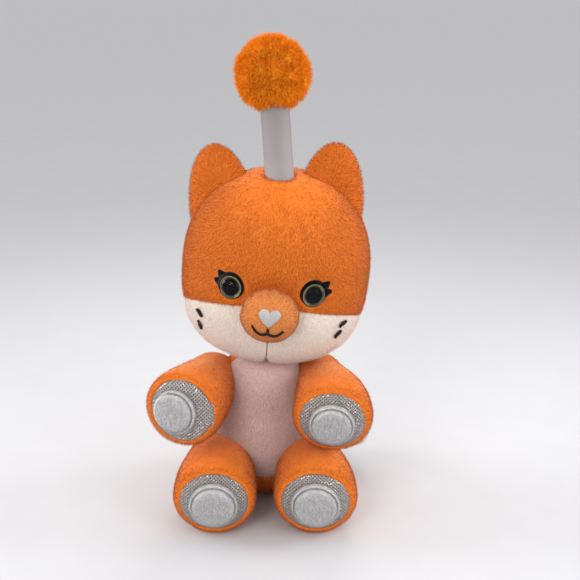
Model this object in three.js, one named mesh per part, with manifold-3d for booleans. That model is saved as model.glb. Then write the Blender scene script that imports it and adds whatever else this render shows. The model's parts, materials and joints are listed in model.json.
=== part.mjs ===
// Plush fox, sitting: a stuffed head on a stuffed torso, four stubby limbs with raised paw discs,
// a tail, and a pompom on a rod that stands out of the crown.
// Millimetres, +Z up. The face looks along -Y, and the fox's own left side is +X.
// The origin is on the flat seat under the torso.
import * as THREE from "three";
import { mergeVertices } from "three/addons/utils/BufferGeometryUtils.js";
import Module from "manifold-3d";

const wasm = await Module();
wasm.setup();

// Clearances, cloth and cuts
const fitGap = 0.3; // gap between pieces that touch
const stuffingGap = 0.6; // gap round the filling of a curved limb
const clothThickness = 2; // plush fabric, backing and pile together
const swingGap = 2.4; // room that a limb at mid swing keeps from what it swings past
const facetingDepth = 1.6; // how far a coarse copy of a form may fall inside the fine one
const overrun = 80; // length that any through cut may run past the part
const pressedDepth = 0.5; // how deep the soft forms are pressed flat where they sit
const probeShare = 0.01; // of a form's half width: the step over which its slope is read

// Torso: an egg that tapers upwards, with a round neck on which the head turns
const torso = {
  halfWidth: 34,
  halfDepth: 30,
  halfHeight: 40,
  lowPower: 2.5,
  highPower: 2,
  taper: 0.1,
  around: 20,
  rings: 12,
};
const torsoInside = { ...torso, around: 12, rings: 7 };
const torsoTrim = { ...torso, around: 14, rings: 8 };
const neckRadius = 23;
const neckSunk = 18.5; // the centre of the round neck below the top of the torso's egg
const neckHeight = 2 * torso.halfHeight - pressedDepth - neckSunk;
const neckSides = 18;
const seatSides = 18; // of the hollow that a limb's root sits in
const innerSeatSides = 8;
const seatGap = 0.1; // between a limb's root and the ball that trims it
const neckOpening = 9; // radius of the hole in the cloth under the head
const tummyHalfWidth = 27;
const tummyBottom = 17;
const tummySideOffset = 6; // the panel ends this far in front of the middle of the torso
const tummyTop = 90;
const tummySteps = 18;
// Half of the panel's outline in shares of its half width and its height
const tummyShares = [
  [0, 0],
  [0.42, 0.02],
  [0.8, 0.12],
  [1, 0.35],
  [0.9, 0.62],
  [0.7, 0.86],
  [0.64, 1],
];
const pelletBag = {
  halfWidth: 15,
  halfDepth: 13,
  halfHeight: 9,
  lowPower: 2.3,
  highPower: 2.3,
  taper: 0,
  around: 12,
  rings: 7,
};
const pelletBagBehind = 3;
const pelletBagHeight = 10;

// Head: an egg with full jowls, turned a little on the neck
const head = {
  halfWidth: 48.5,
  halfDepth: 42,
  halfHeight: 50,
  lowPower: 3,
  highPower: 2.1,
  taper: 0,
  around: 24,
  rings: 14,
};
const headInside = { ...head, around: 14, rings: 8 };
const headSunk = 5; // how deep the neck stands in the head
const headRise = neckRadius - headSunk + head.halfHeight; // of the centres, one above the other
const headAhead = 2;
const headRoll = THREE.MathUtils.degToRad(5);
const headYaw = THREE.MathUtils.degToRad(-3);
const cheekSeamDrop = 13; // front of the seam between hood and cheeks, below the head's centre
const cheekSeamSlope = THREE.MathUtils.degToRad(14); // the seam falls towards the back
const sideSeamOffset = 10; // the cheeks end this far behind the head's centre
const faceTwist = THREE.MathUtils.degToRad(1.5); // the face is sewn on a little askew

// Ears, each two layers of plush sewn together along a rounded triangle
const ear = {
  halfWidth: 17.8,
  halfThickness: 6.2,
  length: 36,
  sidePower: 2, // 1 gives straight sides, 2 an ellipse
  facePower: 2.4,
  around: 14,
  steps: 8,
};
// Where each ear's axis starts: out from the head's mid plane, up from its centre; and its lean
const earRoots = {
  left: { rootOffset: 24, rootHeight: 28, lean: THREE.MathUtils.degToRad(1) },
  right: { rootOffset: 29.3, rootHeight: 22.3, lean: THREE.MathUtils.degToRad(12) },
};
const earTurn = THREE.MathUtils.degToRad(14); // the ears' fronts look a little outwards

// Muzzle: a stuffed ball sewn on the face, in the orange of the hood
const muzzle = {
  halfWidth: 14.7,
  halfDepth: 12.5,
  halfHeight: 13.3,
  lowPower: 2.1,
  highPower: 2.1,
  taper: 0,
  around: 16,
  rings: 10,
};
const muzzleDrop = 15; // below the head's centre
const muzzleOut = 1; // its centre stands this far in front of the face
const muzzleInside = { ...muzzle, around: 10, rings: 7 };
const muzzleClothThickness = 1.6; // thinner than the plush

// Embroidery
const threadHeight = 0.8; // height of raised stitching
const heartHalfWidth = 5.3;
const heartHeight = 8.6;
const heartUp = 3; // centre of the heart above the muzzle's centre
// Control points of half the heart in shares of its half width and its height, from the point up
const heartPointShares = [0, -0.5];
const heartCurveShares = [
  [0.55, -0.25, 1, -0.02, 1, 0.2],
  [1, 0.42, 0.75, 0.5, 0.52, 0.5],
  [0.25, 0.5, 0, 0.42, 0, 0.26],
];
const mouthHalfWidth = 7.5;
const mouthStroke = 1.1;
const mouthDrop = 3.4; // below the muzzle's centre
const stemGap = 0.5; // between the heart's point and the stem under it
const mouthStemDrop = 1.2; // its lower end below the mouth's own centre
const mouthRise = 2.6; // corners of the mouth above the stem's lower end
const mouthSag = 1.8;
const mouthSagShare = 0.55;
const markLength = 5.2;
const markWidth = 2.2;
// Cheek marks: out from the head's mid plane, below its centre, and turned out of level
const cheekMarks = {
  left_upper: { markOut: 36.5, markDrop: 21.5, tilt: THREE.MathUtils.degToRad(40) },
  left_lower: { markOut: 34.5, markDrop: 27, tilt: THREE.MathUtils.degToRad(62) },
  right_upper: { markOut: 35.5, markDrop: 23, tilt: THREE.MathUtils.degToRad(-30) },
  right_lower: { markOut: 35, markDrop: 30, tilt: THREE.MathUtils.degToRad(-72) },
};

// Eyes: a black backing with a post, a coloured iris ring, a clear dome and a lock washer
const eyeOut = 19.8; // from the head's mid plane
const eyeDrop = 4; // below the head's centre
const eyeRadius = 6.1;
const eyeRimThickness = 1;
const irisRadius = 5.5;
const pupilRadius = 4.1;
const irisThickness = 0.5;
const domeRadius = 5.6;
const domeHeight = 2.4;
const domeSteps = 4;
const eyePostRadius = 1.8;
const eyePostLength = 11; // behind the face of the cloth
const washerRadius = 6;
const washerThickness = 1.2;
const stiffeningThickness = 3.6; // the cloth and its backing where a washer clamps them
const eyeSides = 16;
const patchRadius = 7.1;
const feltThickness = 0.6;
const lashLength = 5;
const lashWidth = 2.6;
const lashAngles = [6, 34].map(THREE.MathUtils.degToRad);

// Rod and pompom
const rodRadius = 7.2;
const rodBore = 5.8;
const rodInside = 24; // length below the crown
const rodOutside = 40; // length above the crown
const rodSide = 2; // the rod enters the crown this far to the fox's right of its mid plane
const rodAhead = 12;
const rodRise = 46.3; // of the place where it enters, above the head's centre
const rodLean = THREE.MathUtils.degToRad(-9.5); // sideways, against the head's own axis
const rodTilt = THREE.MathUtils.degToRad(-7); // backwards
const rodSides = 18;
const flangeRadius = 13;
const flangeThickness = 2.4;
const spigotLength = 6;
const plugLength = 9;
const plugCapRadius = 9.5;
const plugCapThickness = 2.5;
const pompomRadius = 19.5;
const pompomSeatDepth = 9; // how far the rod goes into the ball

// Limbs
const limbAround = { cover: 14, filling: 8 };
const paw = {
  rounding: 5.5,
  discHeight: 4.6,
  discRounding: 2.2,
  discRoundingSteps: 2,
  discCloth: 1.3,
  discSides: 18,
};
const shoulderAboveNeck = 3; // above the centre of the round neck
const arm = {
  rootRadius: 15,
  bellyRadius: 18.1,
  pawHalfWidth: 20.5,
  pawHalfHeight: 20,
  padHalfWidth: 16.8,
  padHalfHeight: 16.4,
  discRadius: 11.1,
  rootOut: 28, // shoulder out from the middle of the torso
  rootHeight: neckHeight + shoulderAboveNeck,
  rootAhead: 3,
};
const leg = {
  rootRadius: 18,
  bellyRadius: 20.1,
  pawHalfWidth: 21.3,
  pawHalfHeight: 20.6,
  padHalfWidth: 17.6,
  padHalfHeight: 16.3,
  discRadius: 12,
  rootOut: 23,
  rootAhead: 10,
};
const legHeight = leg.pawHalfHeight - pressedDepth;
const legTop = legHeight + leg.pawHalfHeight;
const armMidSwing = THREE.MathUtils.degToRad(3.5);
const legMidSwing = THREE.MathUtils.degToRad(3);
// Where the middle of each sole is: out from the middle of the torso, ahead of it, and above the seat
const armLeftAboveLegs = 19.1;
const armRightAboveLegs = 24.3;
const armLeftSole = { soleOut: 33, soleAhead: 50.5, soleHeight: legTop + armLeftAboveLegs };
const armRightSole = { soleOut: -43.3, soleAhead: 48, soleHeight: legTop + armRightAboveLegs };
const legLeftSole = { soleOut: 25, soleAhead: 59, soleHeight: legHeight };
const legRightSole = { soleOut: -25.5, soleAhead: 59, soleHeight: legHeight };
const tailEnd = { soleOut: 53, soleAhead: -14, soleHeight: 22 };
const discAside = { arm_right: -2 }; // a disc that is sewn on off the middle of its sole
// The way each limb leaves its root, and the way its sole looks
const limbPoses = {
  arm_left: { ...armLeftSole, start: [0.3, -0.92, -0.2], out: [-0.1, -0.97, -0.18] },
  arm_right: { ...armRightSole, start: [-0.3, -0.95, 0.05], out: [-0.38, -0.92, 0.06] },
  leg_left: { ...legLeftSole, start: [0.1, -1, 0], out: [-0.05, -0.99, -0.1] },
  leg_right: { ...legRightSole, start: [-0.1, -1, 0], out: [-0.02, -0.99, -0.1] },
  tail: { ...tailEnd, start: [0.5, 0.86, 0], out: [0.3, -0.94, 0.1] },
};

// Tail
const tail = {
  rootRadius: 9,
  bellyRadius: 13.5,
  pawHalfWidth: 6.8,
  pawHalfHeight: 6.8,
  rounding: 4.4,
  rootOut: 6,
  rootHeight: 16,
  rootBehind: 25,
  tipShare: 0.62, // the white tip starts at this share of its length
};

const materials = {
  orangePlush: material(0xe8732a, 0.95),
  whitePlush: material(0xe2d6d0, 0.95),
  silverLame: material(0xb9b9bd, 0.45, 0.5),
  whiteVelour: material(0xd8d8d8, 0.9),
  whiteThread: material(0xdedad6, 0.6),
  darkThread: material(0x2c1610, 0.6),
  blackFelt: material(0x0b0a0c, 0.9),
  blackPlastic: material(0x0a0a0c, 0.25),
  irisPaint: material(0x8b8f63, 0.35, 0.3),
  clearPlastic: material(0xdfe6e6, 0.05),
  nylon: material(0xe6e6e0, 0.5),
  rodPlastic: material(0xc9c4cb, 0.55),
  pompomFur: material(0xe88a1a, 0.95),
  fibrefill: material(0xf1f1ee, 1),
  pellets: material(0xd9d4c4, 0.7),
};

function material(colour, roughness, metalness = 0) {
  return new THREE.MeshStandardMaterial({ color: colour, roughness, metalness });
}

// Solids from three.js geometry, and back
function solid(geometry) {
  const flat = geometry.index ? geometry.toNonIndexed() : geometry.clone();
  const bare = new THREE.BufferGeometry().setAttribute("position", flat.getAttribute("position"));
  const merged = mergeVertices(bare);
  return new wasm.Manifold(
    new wasm.Mesh({
      numProp: 3,
      vertProperties: new Float32Array(merged.getAttribute("position").array),
      triVerts: new Uint32Array(merged.index.array),
    }),
  );
}

function geometryOf(made) {
  const mesh = made.getMesh();
  const geometry = new THREE.BufferGeometry();
  const places = new Float32Array(mesh.numVert * 3);
  for (let i = 0; i < mesh.numVert; i++)
    for (let k = 0; k < 3; k++) places[3 * i + k] = mesh.vertProperties[mesh.numProp * i + k];
  geometry.setAttribute("position", new THREE.BufferAttribute(places, 3));
  geometry.setIndex(new THREE.BufferAttribute(new Uint32Array(mesh.triVerts), 1));
  geometry.computeVertexNormals();
  return geometry;
}

// The largest body of a cut solid, without the crumbs that a cut can leave
function whole(made) {
  return made.decompose().sort((a, b) => b.volume() - a.volume())[0];
}

function node(name, made, look) {
  const mesh = new THREE.Mesh(geometryOf(whole(made)), look);
  mesh.name = name;
  return mesh;
}

function group(matrix, ...children) {
  const made = new THREE.Group();
  made.applyMatrix4(matrix);
  made.add(...children);
  return made;
}

function moved(made, matrix) {
  return made.transform(matrix.elements);
}

function turnedAbout(made, pivot, angle) {
  const turn = new THREE.Matrix4().makeTranslation(pivot);
  turn.multiply(new THREE.Matrix4().makeRotationZ(angle));
  turn.multiply(new THREE.Matrix4().makeTranslation(pivot.clone().negate()));
  return moved(made, turn);
}

function joined(list) {
  return list.reduce((sum, each) => sum.add(each));
}

function ball(centre, radius, sides) {
  const geometry = new THREE.SphereGeometry(radius, sides, Math.round(sides / 2)).rotateX(Math.PI / 2);
  return solid(geometry.translate(centre.x, centre.y, centre.z));
}

// A ball whose faces, not its corners, reach the radius
function roomyRadius(radius, sides) {
  return radius / Math.cos(Math.PI / sides) ** 2;
}

function roomyBall(centre, radius, sides) {
  return ball(centre, roomyRadius(radius, sides), sides);
}

// A box between two corners
function block(low, high) {
  const size = high.clone().sub(low);
  const middle = low.clone().add(high).multiplyScalar(0.5);
  return solid(new THREE.BoxGeometry(size.x, size.y, size.z).translate(middle.x, middle.y, middle.z));
}

// A rod along +Z from one height to another
function post(radius, from, to, sides = 24) {
  const geometry = new THREE.CylinderGeometry(radius, radius, to - from, sides).rotateX(Math.PI / 2);
  return solid(geometry.translate(0, 0, (from + to) / 2));
}

// A body of revolution about +Z from [radius, height] points that run up the outside
function turned(points, sides) {
  const profile = points.map(([radius, height]) => new THREE.Vector2(radius, height));
  return solid(new THREE.LatheGeometry(profile, sides).rotateX(Math.PI / 2));
}

// How wide an egg is at a share of its half height, from 0 at its poles to 1 at its middle
function fullness(share, form) {
  const power = share < 0 ? form.lowPower : form.highPower;
  const round = Math.pow(Math.max(0, 1 - Math.pow(Math.abs(share), power)), 1 / power);
  return round * (1 - (form.taper * (share + 1)) / 2);
}

// An egg about the origin with elliptical rings, grown or shrunk by one amount all over
function egg(form, grow = 0) {
  const geometry = new THREE.SphereGeometry(1, form.around, form.rings).rotateX(Math.PI / 2);
  const place = geometry.getAttribute("position");
  for (let i = 0; i < place.count; i++) {
    const share = THREE.MathUtils.clamp(place.getZ(i), -1, 1);
    const angle = Math.atan2(place.getY(i), place.getX(i));
    const reach = i < form.around + 1 || place.count - i < form.around + 2 ? 0 : fullness(share, form);
    place.setXYZ(
      i,
      (form.halfWidth + grow) * reach * Math.cos(angle),
      (form.halfDepth + grow) * reach * Math.sin(angle),
      (form.halfHeight + grow) * share,
    );
  }
  return solid(geometry);
}

// A frame on the front of an egg: its origin on the surface, +Z outwards and +Y up the face
function frameOn(form, x, z, twist = 0) {
  const at = (a, b) => {
    const wide = fullness(b / form.halfHeight, form);
    const side = a / form.halfWidth;
    return new THREE.Vector3(a, -form.halfDepth * Math.sqrt(Math.max(0, wide * wide - side * side)), b);
  };
  const step = form.halfWidth * probeShare;
  const across = at(x + step, z).sub(at(x - step, z));
  const upward = at(x, z + step).sub(at(x, z - step));
  const out = across.cross(upward).normalize();
  const right = new THREE.Vector3(0, 0, 1).cross(out).normalize();
  const frame = new THREE.Matrix4().makeBasis(right, out.clone().cross(right), out);
  return frame.setPosition(at(x, z)).multiply(new THREE.Matrix4().makeRotationZ(-twist));
}

// A closed tube through rings { at, side, up, wide, tall }, closed on a point at each end
function loft(rings, first, last, around) {
  const places = [];
  for (const ring of rings)
    for (let j = 0; j < around; j++) {
      const angle = (2 * Math.PI * j) / around;
      const point = ring.at.clone();
      point.addScaledVector(ring.side, ring.wide * Math.cos(angle));
      point.addScaledVector(ring.up, ring.tall * Math.sin(angle));
      places.push(...point.toArray());
    }
  const firstIndex = rings.length * around;
  places.push(...first.toArray(), ...last.toArray());
  const faces = [];
  const lastRing = (rings.length - 1) * around;
  for (let j = 0; j < around; j++) {
    const next = (j + 1) % around;
    faces.push(firstIndex, next, j, firstIndex + 1, lastRing + j, lastRing + next);
    for (let i = 0; i + 1 < rings.length; i++) {
      const here = i * around;
      const there = here + around;
      faces.push(here + j, here + next, there + next, here + j, there + next, there + j);
    }
  }
  const geometry = new THREE.BufferGeometry();
  geometry.setAttribute("position", new THREE.Float32BufferAttribute(places, 3));
  geometry.setIndex(faces);
  return solid(geometry);
}

// Directions across and up for a ring that faces forward
function ringFrame(forward) {
  const up = new THREE.Vector3(0, 0, 1).addScaledVector(forward, -forward.z).normalize();
  return { side: up.clone().cross(forward), up };
}

// The middle line of a limb, from its pivot to a place in front of its sole's rim
function limbLine(form, end) {
  const reach = form.pivot.distanceTo(end) / 3;
  return new THREE.CubicBezierCurve3(
    form.pivot,
    form.pivot.clone().addScaledVector(form.start, reach),
    end.clone().addScaledVector(form.out, -reach),
    end,
  );
}

// A stuffed limb from a round root to a flat sole with a rounded rim, in by a cloth's thickness
function limbForm(form, shrink, around, steps) {
  const root = form.rootRadius - shrink;
  const wide = form.pawHalfWidth - shrink;
  const tall = form.pawHalfHeight - shrink;
  const rounding = form.rounding - shrink / 2;
  const sole = form.sole.clone().addScaledVector(form.out, -shrink);
  const rim = sole.clone().addScaledVector(form.out, -rounding);
  const line = limbLine(form, rim);
  const rings = [];
  for (let i = 1; i <= steps.root; i++) {
    const angle = (i / steps.root) * (Math.PI / 2);
    const at = form.pivot.clone().addScaledVector(form.start, -root * Math.cos(angle));
    const radius = root * Math.sin(angle);
    rings.push({ at, ...ringFrame(form.start), wide: radius, tall: radius });
  }
  for (let i = 1; i <= steps.along; i++) {
    const share = i / steps.along;
    const smooth = share * share * (3 - 2 * share);
    const belly = (form.bellyRadius - shrink - (root + tall) / 2) * Math.sin(Math.PI * share);
    rings.push({
      at: line.getPointAt(share),
      ...ringFrame(line.getTangentAt(share)),
      wide: root + (wide - root) * smooth + belly,
      tall: root + (tall - root) * smooth + belly,
    });
  }
  for (let i = 1; i <= steps.rim; i++) {
    const angle = (i / steps.rim) * (Math.PI / 2);
    const inward = rounding * (1 - Math.cos(angle));
    rings.push({
      at: rim.clone().addScaledVector(form.out, rounding * Math.sin(angle)),
      ...ringFrame(form.out),
      wide: wide - inward,
      tall: tall - inward,
    });
  }
  const pole = form.pivot.clone().addScaledVector(form.start, -root);
  return loft(rings, pole, sole, around);
}

const fineSteps = { root: 3, along: 4, rim: 2 };
const coarseSteps = { root: 2, along: 3, rim: 1 };

// Everything below the surface that the fox sits on
const ground = block(
  new THREE.Vector3(-overrun, -overrun, -overrun),
  new THREE.Vector3(overrun, overrun, 0),
);
const neckCentre = new THREE.Vector3(0, 0, neckHeight);
const torsoCentre = new THREE.Vector3(0, 0, torso.halfHeight - pressedDepth);

function torsoForm(form, grow) {
  const trunk = egg(form, grow).translate(torsoCentre.toArray());
  return trunk.add(ball(neckCentre, neckRadius + grow, form === torso ? neckSides : form.around));
}

const headPlace = new THREE.Matrix4()
  .makeTranslation(neckCentre)
  .multiply(new THREE.Matrix4().makeRotationFromEuler(new THREE.Euler(0, headRoll, headYaw, "YZX")));
const headCentre = new THREE.Vector3(0, -headAhead, headRise);

function headForm(form, grow) {
  return egg(form, grow).translate(headCentre.toArray());
}

// One limb: its form, its pivot, how it lies, and its turn at mid swing
function limb(name, form, pivot, midSwing) {
  const pose = limbPoses[name];
  return {
    ...form,
    pivot,
    start: new THREE.Vector3(...pose.start).normalize(),
    sole: new THREE.Vector3(pose.soleOut, -pose.soleAhead, pose.soleHeight),
    out: new THREE.Vector3(...pose.out).normalize(),
    midSwing,
  };
}

function mirrored(name, form, height, midSwing, side) {
  const pivot = new THREE.Vector3(side * form.rootOut, -form.rootAhead, height);
  return limb(name, { ...form, rounding: paw.rounding }, pivot, side * midSwing);
}

const limbs = {
  arm_left: mirrored("arm_left", arm, arm.rootHeight, armMidSwing, 1),
  arm_right: mirrored("arm_right", arm, arm.rootHeight, armMidSwing, -1),
  leg_left: mirrored("leg_left", leg, legHeight, legMidSwing, 1),
  leg_right: mirrored("leg_right", leg, legHeight, legMidSwing, -1),
  tail: limb("tail", tail, new THREE.Vector3(tail.rootOut, tail.rootBehind, tail.rootHeight), 0),
};

// What a limb must stay out of while it swings about its pivot: the torso outside the socket
function keepOut(form, inset) {
  const trunk = torsoForm(torsoTrim, swingGap + facetingDepth + inset);
  const radius = form.rootRadius + seatGap - inset;
  const seat = inset
    ? ball(form.pivot, radius, innerSeatSides)
    : roomyBall(form.pivot, radius, seatSides);
  return turnedAbout(trunk, form.pivot, -form.midSwing).subtract(seat);
}

// A flat outline drawn along +Z from one height to another
function prism(shape, from, to, curveSegments = 5) {
  const geometry = new THREE.ExtrudeGeometry(shape, {
    depth: to - from,
    bevelEnabled: false,
    curveSegments,
  });
  return solid(geometry.translate(0, 0, from));
}

function oval(wide, tall) {
  return new THREE.Shape().absellipse(0, 0, wide, tall, 0, 2 * Math.PI);
}

function soleFrame(form) {
  const { side, up } = ringFrame(form.out);
  return new THREE.Matrix4().makeBasis(side, up, form.out).setPosition(form.sole);
}

// The cloth of a limb and its filling
function limbSolids(form) {
  const body = limbForm(form, 0, limbAround.cover, fineSteps).subtract(keepOut(form, 0));
  const lining = limbForm(form, clothThickness, limbAround.filling, coarseSteps);
  const hollow = lining.subtract(keepOut(form, clothThickness));
  const inner = limbForm(form, clothThickness + stuffingGap, limbAround.filling, coarseSteps);
  return {
    skin: body.subtract(ground).subtract(hollow),
    filling: inner.subtract(keepOut(form, clothThickness + stuffingGap)),
  };
}

// A rounded profile that runs up the outside of a disc and in to its axis
function domedProfile(radius, height, rounding, steps) {
  const profile = [];
  for (let i = 0; i <= steps; i++) {
    const angle = (i / steps) * (Math.PI / 2);
    profile.push([
      radius - rounding * (1 - Math.cos(angle)),
      height - rounding * (1 - Math.sin(angle)),
    ]);
  }
  return [...profile, [0, height]];
}

// The raised round disc on a sole: a cloth cap over a firm core
function pawDisc(name, form) {
  const inside = form.discRadius - paw.discCloth;
  const underCap = paw.discHeight - paw.discCloth;
  const edge = domedProfile(form.discRadius, paw.discHeight, paw.discRounding, paw.discRoundingSteps);
  const cap = [[inside, 0], [form.discRadius, 0], ...edge, [0, underCap], [inside, underCap], [inside, 0]];
  const coreRadius = inside - fitGap;
  const coreHeight = underCap - fitGap;
  const core = [[0, 0], [coreRadius, 0], [coreRadius, coreHeight], [0, coreHeight]];
  const aside = discAside[name] ?? 0;
  const place = soleFrame(form).multiply(new THREE.Matrix4().makeTranslation(aside, 0, fitGap));
  return group(
    place,
    node(`${name}_paw_disc`, turned(cap, paw.discSides), materials.whiteVelour),
    node(`${name}_disc_core`, turned(core, paw.discSides), materials.nylon),
  );
}

// One arm or leg
function limbGroup(name, form) {
  const { skin, filling } = limbSolids(form);
  const frame = soleFrame(form);
  const padRoom = (grow) =>
    moved(prism(oval(form.padHalfWidth + grow, form.padHalfHeight + grow), -paw.rounding, paw.rounding), frame);
  return group(
    new THREE.Matrix4(),
    node(`${name}_cover`, skin.subtract(padRoom(fitGap)), materials.orangePlush),
    node(`${name}_filling`, filling, materials.fibrefill),
    node(`${name}_sole_pad`, skin.intersect(padRoom(0)), materials.silverLame),
    pawDisc(name, form),
  );
}

function tailGroup(form) {
  const { skin, filling } = limbSolids(form);
  const line = limbLine(form, form.sole);
  const forward = line.getTangentAt(form.tipShare);
  const { side, up } = ringFrame(forward);
  const seam = new THREE.Matrix4().makeBasis(side, up, forward);
  seam.setPosition(line.getPointAt(form.tipShare));
  const beyond = (start) =>
    moved(
      block(new THREE.Vector3(-overrun, -overrun, start), new THREE.Vector3(overrun, overrun, overrun)),
      seam,
    );
  return group(
    new THREE.Matrix4(),
    node("tail_cover", skin.subtract(beyond(0)), materials.orangePlush),
    node("tail_tip", skin.intersect(beyond(fitGap)), materials.whitePlush),
    node("tail_filling", filling, materials.fibrefill),
  );
}

// Torso
function tummyRoom(grow) {
  const half = tummyShares.map(
    ([wide, high]) =>
      new THREE.Vector2(
        wide * (tummyHalfWidth + grow),
        tummyBottom - grow + high * (tummyTop - tummyBottom + 2 * grow),
      ),
  );
  const outline = new THREE.SplineCurve(half).getPoints(tummySteps);
  const shape = new THREE.Shape(outline);
  for (const point of outline.slice(1).reverse()) shape.lineTo(-point.x, point.y);
  const room = prism(shape, tummySideOffset - grow, overrun);
  return moved(room, new THREE.Matrix4().makeRotationX(Math.PI / 2));
}

// The torso, less the hollows that the limbs' roots sit in
function torsoTrimmed(form, grow) {
  const seats = Object.values(limbs).map(({ pivot, rootRadius }) => {
    const trimmed = roomyRadius(rootRadius + seatGap, seatSides);
    const hollow = trimmed / Math.cos(Math.PI / seatSides) + seatGap;
    return grow
      ? roomyBall(pivot, hollow - grow, innerSeatSides)
      : ball(pivot, hollow, seatSides);
  });
  return torsoForm(form, grow).subtract(joined(seats));
}

function torsoGroup() {
  const neckTop = neckHeight + neckRadius;
  const skin = torsoTrimmed(torso, 0)
    .subtract(ground)
    .subtract(torsoTrimmed(torsoInside, -clothThickness))
    .subtract(post(neckOpening, neckHeight, neckTop + fitGap));
  const inside = torsoTrimmed(torsoInside, -clothThickness - fitGap);
  const bag = (grow) => egg(pelletBag, grow).translate(0, pelletBagBehind, pelletBagHeight);
  return group(
    new THREE.Matrix4(),
    node("torso_cover", skin.subtract(tummyRoom(fitGap)), materials.orangePlush),
    node("tummy_panel", skin.intersect(tummyRoom(0)), materials.whitePlush),
    node("torso_filling", inside.subtract(bag(fitGap)), materials.fibrefill),
    node("pellet_bag", inside.intersect(bag(0)), materials.pellets),
  );
}

// Places on the head, in its own frame, whose origin is the centre of the neck
const headMiddle = new THREE.Matrix4().makeTranslation(headCentre);
const muzzlePlace = headMiddle
  .clone()
  .multiply(frameOn(head, 0, -muzzleDrop, faceTwist))
  .multiply(new THREE.Matrix4().makeTranslation(0, 0, muzzleOut))
  .multiply(new THREE.Matrix4().makeRotationX(-Math.PI / 2));
const rodPlace = new THREE.Matrix4()
  .makeTranslation(-rodSide, headCentre.y - rodAhead, headCentre.z + rodRise)
  .multiply(new THREE.Matrix4().makeRotationFromEuler(new THREE.Euler(rodTilt, rodLean, 0)));

function facePlace(side, out, drop) {
  return headMiddle.clone().multiply(frameOn(head, side * out, -drop, faceTwist));
}

function eyePlace(side) {
  return facePlace(side, eyeOut, eyeDrop);
}

// A thin layer that follows a form, standing clear of it
function layer(formOf, thickness) {
  return formOf(fitGap + thickness).subtract(formOf(fitGap));
}

const onHead = (grow) => headForm(head, grow);
const onMuzzle = (grow) => egg(muzzle, grow);
const reachThrough = muzzle.halfDepth / 2; // how far an outline is drawn each way through a layer

function patchOutline(side) {
  const round = prism(oval(patchRadius, patchRadius), -reachThrough, reachThrough, 7);
  const lashes = lashAngles.map((angle) => {
    const spike = new THREE.Shape([
      new THREE.Vector2(0, -lashWidth / 2),
      new THREE.Vector2(patchRadius + lashLength, 0),
      new THREE.Vector2(0, lashWidth / 2),
    ]);
    const turn = new THREE.Matrix4().makeRotationZ(side > 0 ? angle : Math.PI - angle);
    return moved(prism(spike, -reachThrough, reachThrough), turn);
  });
  return joined([round, ...lashes]);
}

function heartOutline() {
  const across = (share) => share * heartHalfWidth;
  const up = (share) => share * heartHeight;
  const shape = new THREE.Shape();
  const mirrored = [...heartCurveShares].reverse();
  shape.moveTo(across(heartPointShares[0]), up(heartPointShares[1]));
  for (const [ax, ay, bx, by, x, y] of heartCurveShares)
    shape.bezierCurveTo(across(ax), up(ay), across(bx), up(by), across(x), up(y));
  mirrored.forEach(([ax, ay, bx, by], i) => {
    const next = i + 1 < mirrored.length ? mirrored[i + 1].slice(4) : heartPointShares;
    const ends = [-across(bx), up(by), -across(ax), up(ay), -across(next[0]), up(next[1])];
    shape.bezierCurveTo(...ends);
  });
  return prism(shape, -reachThrough, reachThrough, 4);
}

// A line of stitches of one width along a flat curve
function stroke(curve, width, steps) {
  const sides = [[], []];
  for (let i = 0; i <= steps; i++) {
    const at = curve.getPoint(i / steps);
    const along = curve.getTangent(i / steps);
    const off = new THREE.Vector2(-along.y, along.x).multiplyScalar(width / 2);
    sides[0].push(at.clone().sub(off));
    sides[1].unshift(at.clone().add(off));
  }
  return prism(new THREE.Shape(sides.flat()), -reachThrough, reachThrough);
}

// The heart's point, from the middle of the mouth's own frame
const heartPoint = heartUp - heartHeight / 2 + mouthDrop;

function mouthOutline() {
  const low = new THREE.Vector2(0, -mouthStemDrop);
  const stem = new THREE.LineCurve(new THREE.Vector2(0, heartPoint - stemGap), low);
  const lips = [-1, 1].map((side) => {
    const sag = new THREE.Vector2(side * mouthHalfWidth * mouthSagShare, low.y - mouthSag);
    const corner = new THREE.Vector2(side * mouthHalfWidth, low.y + mouthRise);
    return stroke(new THREE.QuadraticBezierCurve(low, sag, corner), mouthStroke, 6);
  });
  return joined([stroke(stem, mouthStroke, 1), ...lips]);
}

function markOutline() {
  const shape = new THREE.Shape();
  shape.moveTo(-markLength / 2, 0);
  shape.quadraticCurveTo(0, -markWidth, markLength / 2, 0);
  shape.quadraticCurveTo(0, markWidth, -markLength / 2, 0);
  return prism(shape, -reachThrough, reachThrough, 4);
}

function earSolid(side, root) {
  const rings = [];
  const across = new THREE.Vector3(1, 0, 0);
  const through = new THREE.Vector3(0, 1, 0);
  for (let i = 0; i < ear.steps; i++) {
    const share = Math.sin((i / ear.steps) * (Math.PI / 2));
    rings.push({
      at: new THREE.Vector3(0, 0, share * ear.length),
      side: across,
      up: through,
      wide: ear.halfWidth * Math.pow(1 - Math.pow(share, ear.sidePower), 1 / ear.sidePower),
      tall: ear.halfThickness * Math.pow(1 - Math.pow(share, ear.facePower), 1 / ear.facePower),
    });
  }
  const top = new THREE.Vector3(0, 0, ear.length);
  const place = headMiddle
    .clone()
    .multiply(new THREE.Matrix4().makeTranslation(side * root.rootOffset, 0, root.rootHeight))
    .multiply(new THREE.Matrix4().makeRotationY(side * root.lean))
    .multiply(new THREE.Matrix4().makeRotationZ(side * earTurn));
  return moved(loft(rings, new THREE.Vector3(), top, ear.around), place).subtract(onHead(fitGap));
}

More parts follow.
